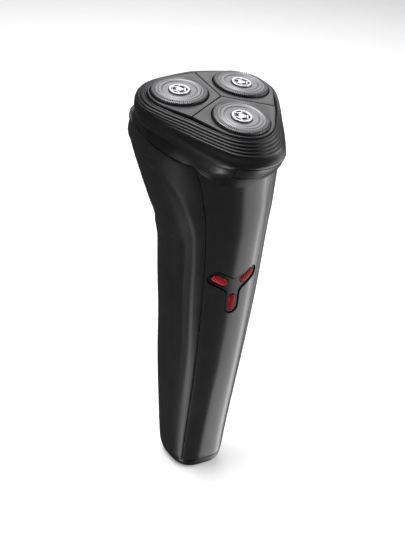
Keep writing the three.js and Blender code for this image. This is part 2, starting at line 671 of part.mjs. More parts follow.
function frameLock() {
  const seat = -FRAME_FOOT - RUN_GAP;
  const foot = seat - 1.6;
  const stem = solid(turned([[0, foot], [5, foot], [5, seat], [LOCK_STEM, seat],
    [LOCK_STEM, -FRAME_TOP], [0, -FRAME_TOP]], 14));
  return stem.add(solid(block(at(-4.2, -0.8, foot - 2), at(4.2, 0.8, foot + 0.2))));
}

function releaseButton() {
  const half = TAB_HALF_WIDTH;
  const levels = [SKIRT_END, SKIRT_FOOT, SKIRT_TURN, SKIRT_WIDE];
  const outer = solid(loft(levels.map((outline) => headRing(outline))));
  const ends = [SKIRT_END.depth + 1, SKIRT_FOOT.depth, SKIRT_TURN.depth, SKIRT_WIDE.depth - 1];
  const inner = solid(loft(levels.map((outline, i) =>
    headRing(deeper(outline, ends[i]), { inset: TAB_THICKNESS }))));
  const keep = block(at(-half, -THROUGH, -TAB_FOOT), at(half, -SPINDLE_CIRCLE, -TAB_TOP));
  const reach = CUTTER_CIRCLE + GUARD_RADIUS + SKIRT_FOOT.grow + SKIRT_FOOT.front;
  const tongue = block(
    at(-4, -reach + 1, -PLATE_TOP + RUN_GAP),
    at(4, -reach + TONGUE_LENGTH, -PLATE_TOP + RUN_GAP + 1.4),
  );
  return outer.subtract(inner).intersect(solid(keep)).add(solid(tongue));
}

// ---- Power button, cut from the handle's own outline -----------------------------------
function armShape(start, end, halfWidth) {
  const shape = new THREE.Shape();
  shape.absarc(0, end - halfWidth, halfWidth, 0, Math.PI, false);
  shape.absarc(0, start + halfWidth, halfWidth, Math.PI, 2 * Math.PI, false);
  shape.closePath();
  return shape;
}

// A three-armed or one-armed tool that points out of the front face.
function armTool(arm, start, end, halfWidth) {
  const tool = prism(armShape(start, end, halfWidth), 0, THROUGH, 4);
  tool.rotateZ(Math.PI + (arm * 2 * Math.PI) / 3).rotateX(Math.PI / 2);
  return solid(tool.translate(0, 0, BUTTON_HEIGHT));
}

function yTool(grown) {
  const arms = SIDES.map((_, arm) => armTool(arm, -BUTTON_HALF_WIDTH - grown, BUTTON_ARM + grown,
    BUTTON_HALF_WIDTH + grown));
  return arms[0].add(arms[1]).add(arms[2]);
}

const skin = (outside, inside) => handleSolid(outside).subtract(handleSolid(inside));

function powerButton() {
  const face = BUTTON_SUNK;
  let body = yTool(0).intersect(skin(face, face + BUTTON_THICKNESS));
  SIDES.forEach((_, arm) => {
    const pocket = armTool(arm, INSERT_START - FIT_GAP, INSERT_END + FIT_GAP, INSERT_HALF_WIDTH + FIT_GAP);
    body = body.subtract(pocket.intersect(skin(-1, face + INSERT_DEPTH + FIT_GAP)));
  });
  const front = frontAt(BUTTON_HEIGHT);
  const stem = block(
    at(-1.4, front + face + BUTTON_THICKNESS - 1, BUTTON_HEIGHT - 1.4),
    at(1.4, front + BOARD_SETBACK - 3.4, BUTTON_HEIGHT + 1.4),
  );
  return body.add(solid(stem));
}

function buttonInsert(arm) {
  return armTool(arm, INSERT_START, INSERT_END, INSERT_HALF_WIDTH)
    .intersect(skin(0.1, BUTTON_SUNK + INSERT_DEPTH));
}

// ---- Finishes --------------------------------------------------------------------------
const GLOSS_BLACK = { color: 0x0d0d0f, roughness: 0.12, metalness: 0 };
const SATIN_BLACK = { color: 0x17171a, roughness: 0.35, metalness: 0 };
const MATTE_GREY = { color: 0x232427, roughness: 0.6, metalness: 0 };
const PLATE_GREY = { color: 0x2c2d31, roughness: 0.4, metalness: 0.2 };
const STEEL = { color: 0x9a9b9e, roughness: 0.35, metalness: 1 };
const SILVER = { color: 0xd8d9dc, roughness: 0.15, metalness: 1 };
const RED = { color: 0xc4141b, roughness: 0.3, metalness: 0 };
const WHITE_PLASTIC = { color: 0xd9d8d2, roughness: 0.5, metalness: 0 };
const BRASS = { color: 0xb08d4a, roughness: 0.35, metalness: 1 };
const BOARD_GREEN = { color: 0x1f5a37, roughness: 0.5, metalness: 0 };
const CELL_WRAP = { color: 0x3a6ea5, roughness: 0.4, metalness: 0 };
const LENS = { color: 0xdfe6e2, roughness: 0.1, metalness: 0 };

// ---- Assembly --------------------------------------------------------------------------
const shaver = new THREE.Group();
const handle = new THREE.Group();
const head = new THREE.Group();
head.position.set(0, -HEAD_FORWARD, HEAD_HEIGHT);
head.rotation.x = HEAD_TILT;
shaver.add(handle, head);

const { rear, front } = handleShells();
const lightAxis = (radius, low, high) =>
  disc(radius, low, high, 12).rotateX(Math.PI / 2).translate(0, 0, LIGHT_HEIGHT);
add(handle, "rear_housing", rear, MATTE_GREY);
add(handle, "front_panel",
  front.subtract(yTool(RUN_GAP)).subtract(solid(lightAxis(LIGHT_RADIUS + FIT_GAP, 0, THROUGH))), GLOSS_BLACK);
add(handle, "bottom_cap", bottomCap(), SATIN_BLACK);
add(handle, "charging_socket", chargingSocket(), SATIN_BLACK);
for (const [name, side] of [["left", -1], ["right", 1]]) {
  const pin = disc(CONTACT_RADIUS, 0, SOCKET_DEPTH + SOCKET_WALL + 0.8 - CONTACT_SUNK, 12);
  add(handle, `socket_pin_${name}`, pin, BRASS)
    .position.set((side * CONTACT_SPACING) / 2, SOCKET_BACK, CONTACT_SUNK);
}
add(handle, "battery", disc(BATTERY_RADIUS, 0, BATTERY_LENGTH, 24), CELL_WRAP).position.z = BATTERY_FOOT;
const CONTACT_DROP = 1.4; // the lower battery contact starts this far below the battery
const batteryContacts = [
  ["bottom", BATTERY_FOOT - CONTACT_DROP],
  ["top", BATTERY_FOOT + BATTERY_LENGTH + FIT_GAP],
];
for (const [name, low] of batteryContacts) {
  add(handle, `battery_contact_${name}`, disc(4, 0, 1, 16), BRASS).position.z = low;
}
add(handle, "chassis", chassis(), WHITE_PLASTIC);

const boardLean = Math.atan2(
  frontAt(BUTTON_HEIGHT - 10) - frontAt(BUTTON_HEIGHT + 10),
  20,
);
const board = new THREE.Group();
board.position.set(0, frontAt(BUTTON_HEIGHT) + BOARD_SETBACK, BUTTON_HEIGHT);
board.rotation.x = boardLean;
handle.add(board);
add(board, "circuit_board", block(
  at(-BOARD_WIDTH / 2, 0, -BOARD_LENGTH / 2),
  at(BOARD_WIDTH / 2, BOARD_THICKNESS, BOARD_LENGTH / 2),
), BOARD_GREEN);
add(board, "power_switch", block(at(-3, -2.4, -3), at(3, -FIT_GAP, 3)), STEEL);
add(handle, "charge_light",
  lightAxis(LIGHT_RADIUS, -frontAt(LIGHT_HEIGHT) - LIGHT_LENGTH, -frontAt(LIGHT_HEIGHT)), LENS);

const drive = new THREE.Group();
head.add(drive);
add(drive, "neck_collar", neckCollar(), SATIN_BLACK);
add(drive, "drive_plate", drivePlate(), SATIN_BLACK);
add(drive, "motor_bracket", tube(12, 3.4, -MOTOR_TOP + FIT_GAP, -MOTOR_TOP + FIT_GAP + 1.4), WHITE_PLASTIC);
add(drive, "motor_can", motorCan(), STEEL);
add(drive, "motor_rotor", motorRotor(), BRASS);
add(drive, "motor_pinion", gear(PINION_TEETH, MOTOR_SHAFT_RADIUS + FIT_GAP, 0), BRASS);
for (const [name, side] of [["left", -1], ["right", 1]]) {
  add(drive, `plate_screw_${name}`, screw(), STEEL).position.set(side * SCREW.across, SCREW.along, 0);
}
add(drive, "hinge_pin", crossPin(PIN_RADIUS, -KNUCKLE_HALF - 4, KNUCKLE_HALF + 4, 12), STEEL);

// A gear's tooth space faces the pinion's tooth on the line between their centres.
DIRECTIONS.forEach((direction, i) => {
  const station = new THREE.Group();
  station.position.set(SPINDLE_CIRCLE * Math.cos(direction), SPINDLE_CIRCLE * Math.sin(direction), 0);
  drive.add(station);
  const pinionPhase = (direction * PINION_TEETH) / (2 * Math.PI);
  const facing = direction + Math.PI;
  const turn = facing + ((pinionPhase + 0.5) * 2 * Math.PI) / GEAR_TEETH;
  add(station, `drive_gear_${SIDES[i]}`, gear(GEAR_TEETH, 1.6 + FIT_GAP, turn), WHITE_PLASTIC);
  add(station, `drive_spindle_${SIDES[i]}`, spindle(), WHITE_PLASTIC);
  add(station, `spindle_spring_${SIDES[i]}`,
    coil(2.35, 0.3, -GEAR_TOP + FIT_GAP, -PLATE_TOP + 3 - FIT_GAP, 3), STEEL);
});

add(head, "head_shell", headShell(), SATIN_BLACK);
add(head, "retaining_frame", retainingFrame(), WHITE_PLASTIC);
add(head, "frame_lock", frameLock(), SATIN_BLACK);
SIDES.forEach((side, i) => {
  const sector = new THREE.Group();
  sector.rotation.z = (i * 2 * Math.PI) / 3;
  const unit = new THREE.Group();
  unit.position.y = -CUTTER_CIRCLE;
  unit.rotation.x = CUTTER_TILT;
  sector.add(unit);
  head.add(sector);
  add(unit, `head_plate_${side}`, sectorPlate(), PLATE_GREY);
  add(unit, `guard_${side}`, guard(), STEEL);
  add(unit, `guard_cap_${side}`, trimCap(), SILVER);
  add(unit, `cutter_${side}`, cutter(), STEEL);
});

add(head, "release_button", releaseButton(), SATIN_BLACK);
const springBack = CUTTER_CIRCLE + GUARD_RADIUS + SKIRT_FOOT.grow + SKIRT_FOOT.front - TONGUE_LENGTH;
add(head, "release_spring", coil(0.6, 0.2, FIT_GAP, 3, 3).rotateX(-Math.PI / 2), STEEL)
  .position.set(0, -springBack, -PLATE_TOP + RUN_GAP + 0.9);

add(handle, "power_button", powerButton(), SATIN_BLACK);
SIDES.forEach((_, arm) => {
  add(handle, `button_insert_${["down", "left", "right"][arm]}`, buttonInsert(arm), RED);
});

export default shaver;
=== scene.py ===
import json
import math

import bmesh
import bpy
from mathutils import Matrix, Vector


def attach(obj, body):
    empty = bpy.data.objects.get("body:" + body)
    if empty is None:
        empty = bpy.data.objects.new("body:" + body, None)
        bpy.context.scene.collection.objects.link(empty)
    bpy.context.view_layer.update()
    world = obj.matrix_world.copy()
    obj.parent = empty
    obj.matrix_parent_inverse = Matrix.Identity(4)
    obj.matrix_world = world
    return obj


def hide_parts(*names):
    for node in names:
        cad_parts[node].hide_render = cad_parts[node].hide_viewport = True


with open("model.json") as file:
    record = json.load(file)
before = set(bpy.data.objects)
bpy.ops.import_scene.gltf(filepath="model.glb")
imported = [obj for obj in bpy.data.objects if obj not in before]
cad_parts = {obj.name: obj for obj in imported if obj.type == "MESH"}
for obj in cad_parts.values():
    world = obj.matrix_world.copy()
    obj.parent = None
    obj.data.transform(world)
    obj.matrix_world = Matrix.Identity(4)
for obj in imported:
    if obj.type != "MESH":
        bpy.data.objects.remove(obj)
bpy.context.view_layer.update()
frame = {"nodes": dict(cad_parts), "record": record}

# Lengths below are in millimetres; pieces are made in metres.
MM = 0.001

# ---- Sizes of the shaver ---------------------------------------------------------------
HEAD_HEIGHT = 157.5
HEAD_FORWARD = 4.0
HEAD_TILT = math.radians(11)
HEAD = Matrix.Translation((0, -HEAD_FORWARD, HEAD_HEIGHT)) @ Matrix.Rotation(HEAD_TILT, 4, "X")
GUARD_RADIUS = 10.5
CUTTER_CIRCLE = (2 * GUARD_RADIUS + 5.1) / math.sqrt(3)
CUTTER_TILT = math.radians(3.8)
DIRECTIONS = [math.radians(a) for a in (-90, 30, 150)]
SIDES = ["front", "right", "left"]
PARTING_DEPTH = 14.9
PARTING_SLOPE = 0.08
CAP_HEIGHT = 3.5
SEAM = 0.08
WALL = 1.8
BUTTON_HEIGHT = 89.8
BUTTON_ARM = 11.3
BUTTON_HALF = 2.6
BUTTON_SUNK = 0.55
BUTTON_CENTRE = Vector((0, -14, BUTTON_HEIGHT))
INSERT_RIBS = 8

# Handle sections: height, half width, reach to the front, reach to the back, place of the
# widest point, squareness of the front half and of the rear half.
SHOULDER = 27.1
SECTIONS = [
    (0, 9.3, 10.0, 9.8, 0, 3, 3),
    (0.6, 10.0, 10.4, 10.5, 0, 3, 3),
    (2, 10.9, 10.8, 11.4, 0, 2.9, 3),
    (3.5, 11.4, 11.1, 11.9, 0, 2.8, 3),
    (5, 11.8, 11.4, 12.3, 0, 2.7, 3),
    (8, 12.2, 11.9, 12.7, 0, 2.6, 3),
    (12, 12.5, 12.55, 13, -0.1, 2.5, 3),
    (57, 15.8, 19.9, 16.6, -1.6, 2.3, 2.6),
    (83.75, 18.35, 22.5, 16.9, -2.5, 2.2, 2.5),
    (110.5, 20.7, 24.3, 17.2, -3.5, 2.1, 2.4),
    (117.5, 22.5, 24.1, 19.2, -2, 2.1, 2.6),
    (126.5, SHOULDER - 2.4, 23.8, 21.4, 0, 2, 3),
    (136, SHOULDER - 0.6, 23.7, 24.6, 2, 2, 3.5),
    (142, SHOULDER, 23.5, 26, 3.4, 2, 3.8),
    (145.5, SHOULDER - 0.7, 23.5, 25.5, 4, 2, 4),
    (155.5, SHOULDER - 1.4, 23.5, 25, 4, 2, 4),
]
# Height and half width of the front panel.
PANEL_EDGE = [(0, 9.1), (36, 9.9), (57, 10.4), (76, 11), (94, 11.6), (114.5, 12.6), (130.5, 14.8),
              (137.5, 17), (157.5, 24)]
# Height and share of the half ring (0 front, 1 back) that the framing crease runs at.
CREASE = [(0, 0.40), (12, 0.375), (36, 0.315), (66, 0.275), (90.5, 0.27), (101.7, 0.265), (113.2, 0.265),
          (119, 0.275), (125.6, 0.30), (130.3, 0.345), (133.9, 0.41), (136.4, 0.50), (141.6, 0.62),
          (155.5, 0.75)]

# Head outline levels: depth, growth of the front corner over the guard, shift of its centre,
# the same two for the back corners, and the shift of these to the rear.
RIM_TOP = (0.8, 3.2, -1.7, 3.5, -1.7, 0)
RIM_FOOT = (5.2, 3.7, 2.8, 4.9, -0.3, 1.2)
SKIRT_WIDE = (8.2, 6, 3.1, 5.8, -1.2, 1.2)
SKIRT_TURN = (11.5, 6.9, 0.8, 4.8, -1.5, 1)
SKIRT_FOOT = (15, 7.7, -2, 3.5, -2, 1)
SKIRT_END = (19, 7.5, -5.2, 3, -3, 0.5)
COLLAR_LEVELS = [(23, 3.8, -5, 0.5, -6, 0), (21.5, 4.9, -4.8, 1.4, -4.2, 0), (20, 5.7, -4.6, 2.1, -3, 0),
                 (17.2, 7, -3.3, 3.1, -1.9, 0), (12.2, 7.1, -0.1, 3.1, -1.9, 0)]
HINGE_DEPTH = 9.5
KNUCKLE_RADIUS = 2.17
HINGE_BACK = (CUTTER_CIRCLE - 1.2) / 2 + 1.2 + GUARD_RADIUS + 5.8 + 0.6 + 0.4 + 2.2


# ---- Small helpers ---------------------------------------------------------------------
def clear():
    """Object mode with nothing selected."""
    if bpy.context.object and bpy.context.object.mode == "EDIT":
        bpy.ops.object.mode_set(mode="OBJECT")
    bpy.ops.object.select_all(action="DESELECT")


def pick(*pieces):
    clear()
    for piece in pieces:
        piece.select_set(True)
    bpy.context.view_layer.objects.active = pieces[0]


def lerp_table(table, x):
    """Values of a table's row at x, eased so that its slope has no kinks."""
    if x <= table[0][0]:
        return table[0][1:]
    if x >= table[-1][0]:
        return table[-1][1:]
    i = next(k for k in range(1, len(table)) if table[k][0] >= x)
    a, b = table[i - 1], table[i]
    before = table[max(i - 2, 0)]
    after = table[min(i + 1, len(table) - 1)]
    width = b[0] - a[0]
    t = (x - a[0]) / width
    out = []
    for k in range(1, len(a)):
        here = (b[k] - a[k]) / width
        left = (a[k] - before[k]) / (a[0] - before[0]) if a[0] > before[0] else here
        right = (after[k] - b[k]) / (after[0] - b[0]) if after[0] > b[0] else here
        m0 = 2 * here * left / (here + left) if here * left > 0 else 0
        m1 = 2 * here * right / (here + right) if here * right > 0 else 0
        h = (b[k] - a[k])
        out.append(a[k] + (m0 * width) * (t ** 3 - 2 * t * t + t)
                   + h * (3 * t * t - 2 * t ** 3) + (m1 * width) * (t ** 3 - t * t))
    return out


def settle(verts, points):
    """Moves each vertex to its place in edit mode."""
    for vert, point in zip(verts, points):
        vert.select_set(True)
        bpy.ops.transform.translate(value=Vector(point) * MM - vert.co)
        vert.select_set(False)


def sheet(name, rows, wrap=False, fill=(False, False)):
    """A skin through rows of points: a grid is added and each of its points set in place.
    wrap joins the last column to the first, and fill closes the first or the last row."""
    clear()
    bpy.ops.mesh.primitive_grid_add(
        x_subdivisions=len(rows[0]) - 1 + wrap, y_subdivisions=len(rows) - 1, size=0.02)
    piece = bpy.context.object
    piece.name = name
    bpy.ops.object.mode_set(mode="EDIT")
    bpy.ops.mesh.select_all(action="DESELECT")
    mesh = bmesh.from_edit_mesh(piece.data)
    mesh.verts.ensure_lookup_table()
    places = [p for row in rows for p in (list(row) + [row[0]] if wrap else row)]
    settle(mesh.verts, places)
    bpy.ops.mesh.select_all(action="SELECT")
    bpy.ops.mesh.remove_doubles(threshold=1e-6)
    for end, row in ((0, rows[0]), (1, rows[-1])):
        if fill[end]:
            bpy.ops.mesh.select_all(action="DESELECT")
            bpy.ops.mesh.select_mode(type="VERT")
            mesh = bmesh.from_edit_mesh(piece.data)
            spots = {tuple(round(c * MM, 6) for c in p) for p in row}
            for vert in mesh.verts:
                if tuple(round(c, 6) for c in vert.co) in spots:
                    vert.select_set(True)
            mesh.select_flush(True)
            bpy.ops.mesh.edge_face_add()
    bpy.ops.mesh.select_all(action="SELECT")
    bpy.ops.mesh.normals_make_consistent(inside=False)
    bpy.ops.mesh.select_all(action="DESELECT")
    bpy.ops.object.mode_set(mode="OBJECT")
    return piece


def finish_with(piece, kind, **settings):
    """Adds a modifier and applies it."""
    pick(piece)
    bpy.ops.object.modifier_add(type=kind)
    modifier = piece.modifiers[-1]
    for key, value in settings.items():
        setattr(modifier, key, value)
    bpy.ops.object.modifier_apply(modifier=modifier.name)
    return piece


def thicken(piece, wall, offset=-1, even=True):
    return finish_with(piece, "SOLIDIFY", thickness=wall * MM, offset=offset, use_even_offset=even)


def soften(piece, width, angle=40, segments=2):
    return finish_with(piece, "BEVEL", width=width * MM, segments=segments, limit_method="ANGLE",
                       angle_limit=math.radians(angle), use_clamp_overlap=True)


def smooth(piece, angle=35):
    pick(piece)
    bpy.ops.object.shade_smooth_by_angle(angle=math.radians(angle))
    return piece


def cut(piece, tool, how="DIFFERENCE", keep_tool=False):
    finish_with(piece, "BOOLEAN", object=tool, operation=how, solver="EXACT")
    if not keep_tool:
        bpy.data.objects.remove(tool)
    return piece


def bisect(piece, point, normal):
    """Cuts the piece with a plane and clears what is on the normal's side."""
    pick(piece)
    bpy.ops.object.mode_set(mode="EDIT")
    bpy.ops.mesh.select_all(action="SELECT")
    bpy.ops.mesh.bisect(plane_co=Vector(point) * MM, plane_no=Vector(normal), clear_outer=True,
                        clear_inner=False, use_fill=False)
    bpy.ops.mesh.select_all(action="DESELECT")
    bpy.ops.object.mode_set(mode="OBJECT")
    return piece


def placed(piece, matrix):
    """Moves a piece by a matrix in millimetres and applies its place."""
    pick(piece)
    shift = matrix.copy()
    shift.translation = matrix.translation * MM
    piece.matrix_world = shift @ piece.matrix_world
    bpy.context.view_layer.update()
    bpy.ops.object.transform_apply(location=True, rotation=True, scale=True)
    return piece


def duplicate(piece, name, matrix):
    pick(piece)
    bpy.ops.object.duplicate(linked=False)
    other = bpy.context.object
    other.name = name
    return placed(other, matrix)


def brick(name, low, high):
    """A box from its lowest to its highest corner."""
    clear()
    low, high = Vector(low), Vector(high)
    bpy.ops.mesh.primitive_cube_add(size=1, location=(low + high) / 2 * MM, scale=(high - low) * MM)
    piece = bpy.context.object
    piece.name = name
    bpy.ops.object.transform_apply(location=True, rotation=True, scale=True)
    return piece


def rod(name, radius, low, high, vertices=48):
    """A cylinder along Z."""
    clear()
    bpy.ops.mesh.primitive_cylinder_add(vertices=vertices, radius=radius * MM, depth=(high - low) * MM,
                                        location=(0, 0, (low + high) / 2 * MM))
    piece = bpy.context.object
    piece.name = name
    bpy.ops.object.transform_apply(location=True, rotation=True, scale=True)
    return piece


def turned(name, profile, steps=64):
    """A chain of points, radius and height, spun about Z."""
    clear()
    bpy.ops.mesh.primitive_circle_add(vertices=len(profile), radius=0.01)
    piece = bpy.context.object
    piece.name = name
    bpy.ops.object.mode_set(mode="EDIT")
    bpy.ops.mesh.select_all(action="DESELECT")
    mesh = bmesh.from_edit_mesh(piece.data)
    mesh.verts.ensure_lookup_table()
    settle(mesh.verts, [(r, 0, z) for r, z in profile])
    last, first = mesh.verts[len(profile) - 1], mesh.verts[0]
    for edge in mesh.edges:
        if {v.index for v in edge.verts} == {last.index, first.index}:
            edge.select_set(True)
    if (Vector(profile[0]) - Vector(profile[-1])).length > 1e-6:
        bpy.ops.mesh.delete(type="EDGE_FACE")
    bpy.ops.mesh.select_all(action="SELECT")
    bpy.ops.mesh.spin(steps=steps, angle=2 * math.pi, center=(0, 0, 0), axis=(0, 0, 1))
    bpy.ops.mesh.select_all(action="SELECT")
    bpy.ops.mesh.remove_doubles(threshold=2e-6)
    bpy.ops.mesh.normals_make_consistent(inside=False)
    bpy.ops.mesh.select_all(action="DESELECT")
    bpy.ops.object.mode_set(mode="OBJECT")
    return piece


def sink_faces(piece, chosen, depth, slot_index):
    """Sinks the faces that chosen(radius, angle, height, normal) accepts and gives them a slot."""
    pick(piece)
    bpy.ops.object.mode_set(mode="EDIT")
    bpy.ops.mesh.select_mode(type="FACE")
    bpy.ops.mesh.select_all(action="DESELECT")
    mesh = bmesh.from_edit_mesh(piece.data)
    for face in mesh.faces:
        middle = face.calc_center_median() / MM
        radius = math.hypot(middle.x, middle.y)
        angle = math.atan2(middle.y, middle.x) % (2 * math.pi)
        if chosen(radius, angle, middle.z, face.normal):
            face.select_set(True)
    bmesh.update_edit_mesh(piece.data)
    bpy.ops.mesh.extrude_region_shrink_fatten(TRANSFORM_OT_shrink_fatten={"value": -depth * MM})
    mesh = bmesh.from_edit_mesh(piece.data)
    for face in mesh.faces:
        if face.select:
            face.material_index = slot_index
    bpy.ops.mesh.select_mode(type="VERT")
    bpy.ops.mesh.select_all(action="DESELECT")
    bpy.ops.object.mode_set(mode="OBJECT")
    return piece


# ---- Node groups shared by the finishes ------------------------------------------------
def new_group(name, inputs, outputs):
    group = bpy.data.node_groups.new(name, "ShaderNodeTree")
    for label, kind, value in inputs:
        socket = group.interface.new_socket(name=label, in_out="INPUT", socket_type=kind)
        socket.default_value = value
    for label, kind in outputs:
        group.interface.new_socket(name=label, in_out="OUTPUT", socket_type=kind)
    start = group.nodes.new("NodeGroupInput")
    end = group.nodes.new("NodeGroupOutput")
    return group, start, end


def moulded_grain_group():
    """Fine spark-eroded grain of a moulded face, as a normal."""
    group, start, end = new_group("moulded_grain", [
        ("Position", "NodeSocketVector", (0, 0, 0)), ("Grain Size", "NodeSocketFloat", 2500.0),
        ("Depth", "NodeSocketFloat", 0.1)], [("Normal", "NodeSocketVector")])
    noise = group.nodes.new("ShaderNodeTexNoise")
    noise.inputs["Detail"].default_value = 3
    bump = group.nodes.new("ShaderNodeBump")
    bump.inputs["Distance"].default_value = 0.0001
    link = group.links.new
    link(start.outputs["Position"], noise.inputs["Vector"])
    link(start.outputs["Grain Size"], noise.inputs["Scale"])
    link(start.outputs["Depth"], bump.inputs["Strength"])
    link(noise.outputs["Fac"], bump.inputs["Height"])
    link(bump.outputs["Normal"], end.inputs["Normal"])
    return group


def handling_group():
    """Slow drift of colour, and of roughness where a face has been handled and wiped."""
    group, start, end = new_group("handling", [
        ("Position", "NodeSocketVector", (0, 0, 0)), ("Color", "NodeSocketColor", (0.5, 0.5, 0.5, 1)),
        ("Worn Color", "NodeSocketColor", (0.6, 0.6, 0.6, 1)), ("Roughness", "NodeSocketFloat", 0.4),
        ("Roughness Drift", "NodeSocketFloat", 0.08), ("Patch Size", "NodeSocketFloat", 60.0)],
        [("Color", "NodeSocketColor"), ("Roughness", "NodeSocketFloat")])
    nodes, link = group.nodes, group.links.new
    patches = nodes.new("ShaderNodeTexNoise")
    patches.inputs["Detail"].default_value = 4
    specks = nodes.new("ShaderNodeTexNoise")
    specks.inputs["Scale"].default_value = 900
    ramp = nodes.new("ShaderNodeValToRGB")
    ramp.color_ramp.elements[0].position = 0.35
    ramp.color_ramp.elements[1].position = 0.75
    mix = nodes.new("ShaderNodeMix")
    mix.data_type = "RGBA"
    centre = nodes.new("ShaderNodeMath")
    centre.operation = "SUBTRACT"
    centre.inputs[1].default_value = 0.5
    both = nodes.new("ShaderNodeMath")
    both.operation = "MULTIPLY_ADD"
    both.inputs[1].default_value = 0.35
    scale = nodes.new("ShaderNodeMath")
    scale.operation = "MULTIPLY"
    total = nodes.new("ShaderNodeMath")
    total.operation = "ADD"
    total.use_clamp = True
    link(start.outputs["Position"], patches.inputs["Vector"])
    link(start.outputs["Position"], specks.inputs["Vector"])
    link(start.outputs["Patch Size"], patches.inputs["Scale"])
    link(patches.outputs["Fac"], ramp.inputs["Fac"])
    link(ramp.outputs["Color"], mix.inputs["Factor"])
    link(start.outputs["Color"], mix.inputs["A"])
    link(start.outputs["Worn Color"], mix.inputs["B"])
    link(mix.outputs["Result"], end.inputs["Color"])
    link(specks.outputs["Fac"], both.inputs[0])
    link(patches.outputs["Fac"], both.inputs[2])
    link(both.outputs[0], centre.inputs[0])
    link(centre.outputs[0], scale.inputs[0])
    link(start.outputs["Roughness Drift"], scale.inputs[1])
    link(scale.outputs[0], total.inputs[0])
    link(start.outputs["Roughness"], total.inputs[1])
    link(total.outputs[0], end.inputs["Roughness"])
    return group


GRAIN = moulded_grain_group()
HANDLING = handling_group()


def finish(name, color, worn, roughness, drift=0.08, grain=0.08, grain_size=2500.0, patch=60.0,
           **shader):
    """A material from the two groups and plain values of the shader."""
    material = bpy.data.materials.new(name)
    material.use_nodes = True
    nodes, link = material.node_tree.nodes, material.node_tree.links.new
    surface = nodes["Principled BSDF"]
    spot = nodes.new("ShaderNodeTexCoord")
    handling = nodes.new("ShaderNodeGroup")
    handling.node_tree = HANDLING
    handling.inputs["Color"].default_value = (*color, 1)
    handling.inputs["Worn Color"].default_value = (*worn, 1)
    handling.inputs["Roughness"].default_value = roughness
    handling.inputs["Roughness Drift"].default_value = drift
    handling.inputs["Patch Size"].default_value = patch
    link(spot.outputs["Object"], handling.inputs["Position"])
    link(handling.outputs["Color"], surface.inputs["Base Color"])
    link(handling.outputs["Roughness"], surface.inputs["Roughness"])
    if grain:
        texture = nodes.new("ShaderNodeGroup")
        texture.node_tree = GRAIN
        texture.inputs["Grain Size"].default_value = grain_size
        texture.inputs["Depth"].default_value = grain
        link(spot.outputs["Object"], texture.inputs["Position"])
        link(texture.outputs["Normal"], surface.inputs["Normal"])
    for socket, value in shader.items():
        surface.inputs[socket.replace("_", " ")].default_value = value
    return material


FINISHES = {
    "gloss_black": finish("gloss_black", (0.014, 0.014, 0.0145), (0.017, 0.017, 0.0175), 0.2, 0.05,
                          grain=0.01, grain_size=400, Specular_IOR_Level=0.35),
    "matte_grey": finish("matte_grey", (0.009, 0.0092, 0.0098), (0.013, 0.013, 0.0138), 0.4, 0.1,
                         grain=0.15, Specular_IOR_Level=0.32),
    "satin_black": finish("satin_black", (0.006, 0.006, 0.0065), (0.009, 0.009, 0.0095), 0.32, 0.1,
                          grain=0.08, Specular_IOR_Level=0.32),
    "plate_grey": finish("plate_grey", (0.022, 0.0225, 0.024), (0.03, 0.03, 0.032), 0.42, 0.08, grain=0.1,
                         grain_size=4000, Specular_IOR_Level=0.5),
    "guard_steel": finish("guard_steel", (0.15, 0.15, 0.155), (0.21, 0.21, 0.215), 0.42, 0.12, grain=0.12,
                          grain_size=3000, Metallic=1.0),
    "bright_steel": finish("bright_steel", (0.5, 0.5, 0.51), (0.58, 0.58, 0.59), 0.34, 0.06, grain=0.04,
                           Metallic=1.0),
    "blade_steel": finish("blade_steel", (0.5, 0.5, 0.52), (0.6, 0.6, 0.61), 0.3, 0.1, Metallic=1.0),
    "red_plastic": finish("red_plastic", (0.6, 0.003, 0.01), (0.7, 0.005, 0.014), 0.36, 0.08, grain=0.03,
                          Specular_IOR_Level=0.35),
    "white_plastic": finish("white_plastic", (0.62, 0.61, 0.57), (0.7, 0.69, 0.64), 0.48, 0.1),
    "spring_steel": finish("spring_steel", (0.55, 0.55, 0.56), (0.62, 0.62, 0.62), 0.28, 0.12, Metallic=1.0),
    "brass": finish("brass", (0.62, 0.42, 0.16), (0.7, 0.5, 0.22), 0.28, 0.12, Metallic=1.0),
    "cell_wrap": finish("cell_wrap", (0.05, 0.16, 0.38), (0.06, 0.19, 0.43), 0.3, 0.08, grain=0.04),
    "board_green": finish("board_green", (0.012, 0.1, 0.04), (0.02, 0.13, 0.05), 0.4, 0.1),
    "light_lens": finish("light_lens", (0.5, 0.53, 0.52), (0.58, 0.6, 0.59), 0.12, 0.05, grain=0.02),
}
SLOT_SHADOW = finish("slot_shadow", (0.012, 0.012, 0.013), (0.02, 0.02, 0.02), 0.6, 0.1, Metallic=0.3)
# Darker red for the valleys between the inserts' ribs: painted shade in the grooves, not a second colour of
# the plastic.
PAINTED_GROOVE_SHADE = finish("red_painted_groove_shade", (0.05, 0.001, 0.002), (0.07, 0.001, 0.002), 0.5, 0.08)


def dress(piece, slot, *more):
    """Gives a piece its finish; more are the finishes of its further slots."""
    for material in (FINISHES[slot], *more):
        piece.data.materials.append(material)
    return piece


def fit(piece, body, slot, *nodes, more=()):
    """Dresses a piece, makes it ride on its body and stand for its CAD nodes."""
    dress(piece, slot, *more)
    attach(piece, body)
    if nodes:
        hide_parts(*nodes)
    return piece


# The CAD nodes that stay get their finishes.
for entry in frame["record"]["subparts"]:
    node = frame["nodes"][entry["node"]]
    node.data.materials.clear()
    node.data.materials.append(FINISHES[entry["material_slot"]])


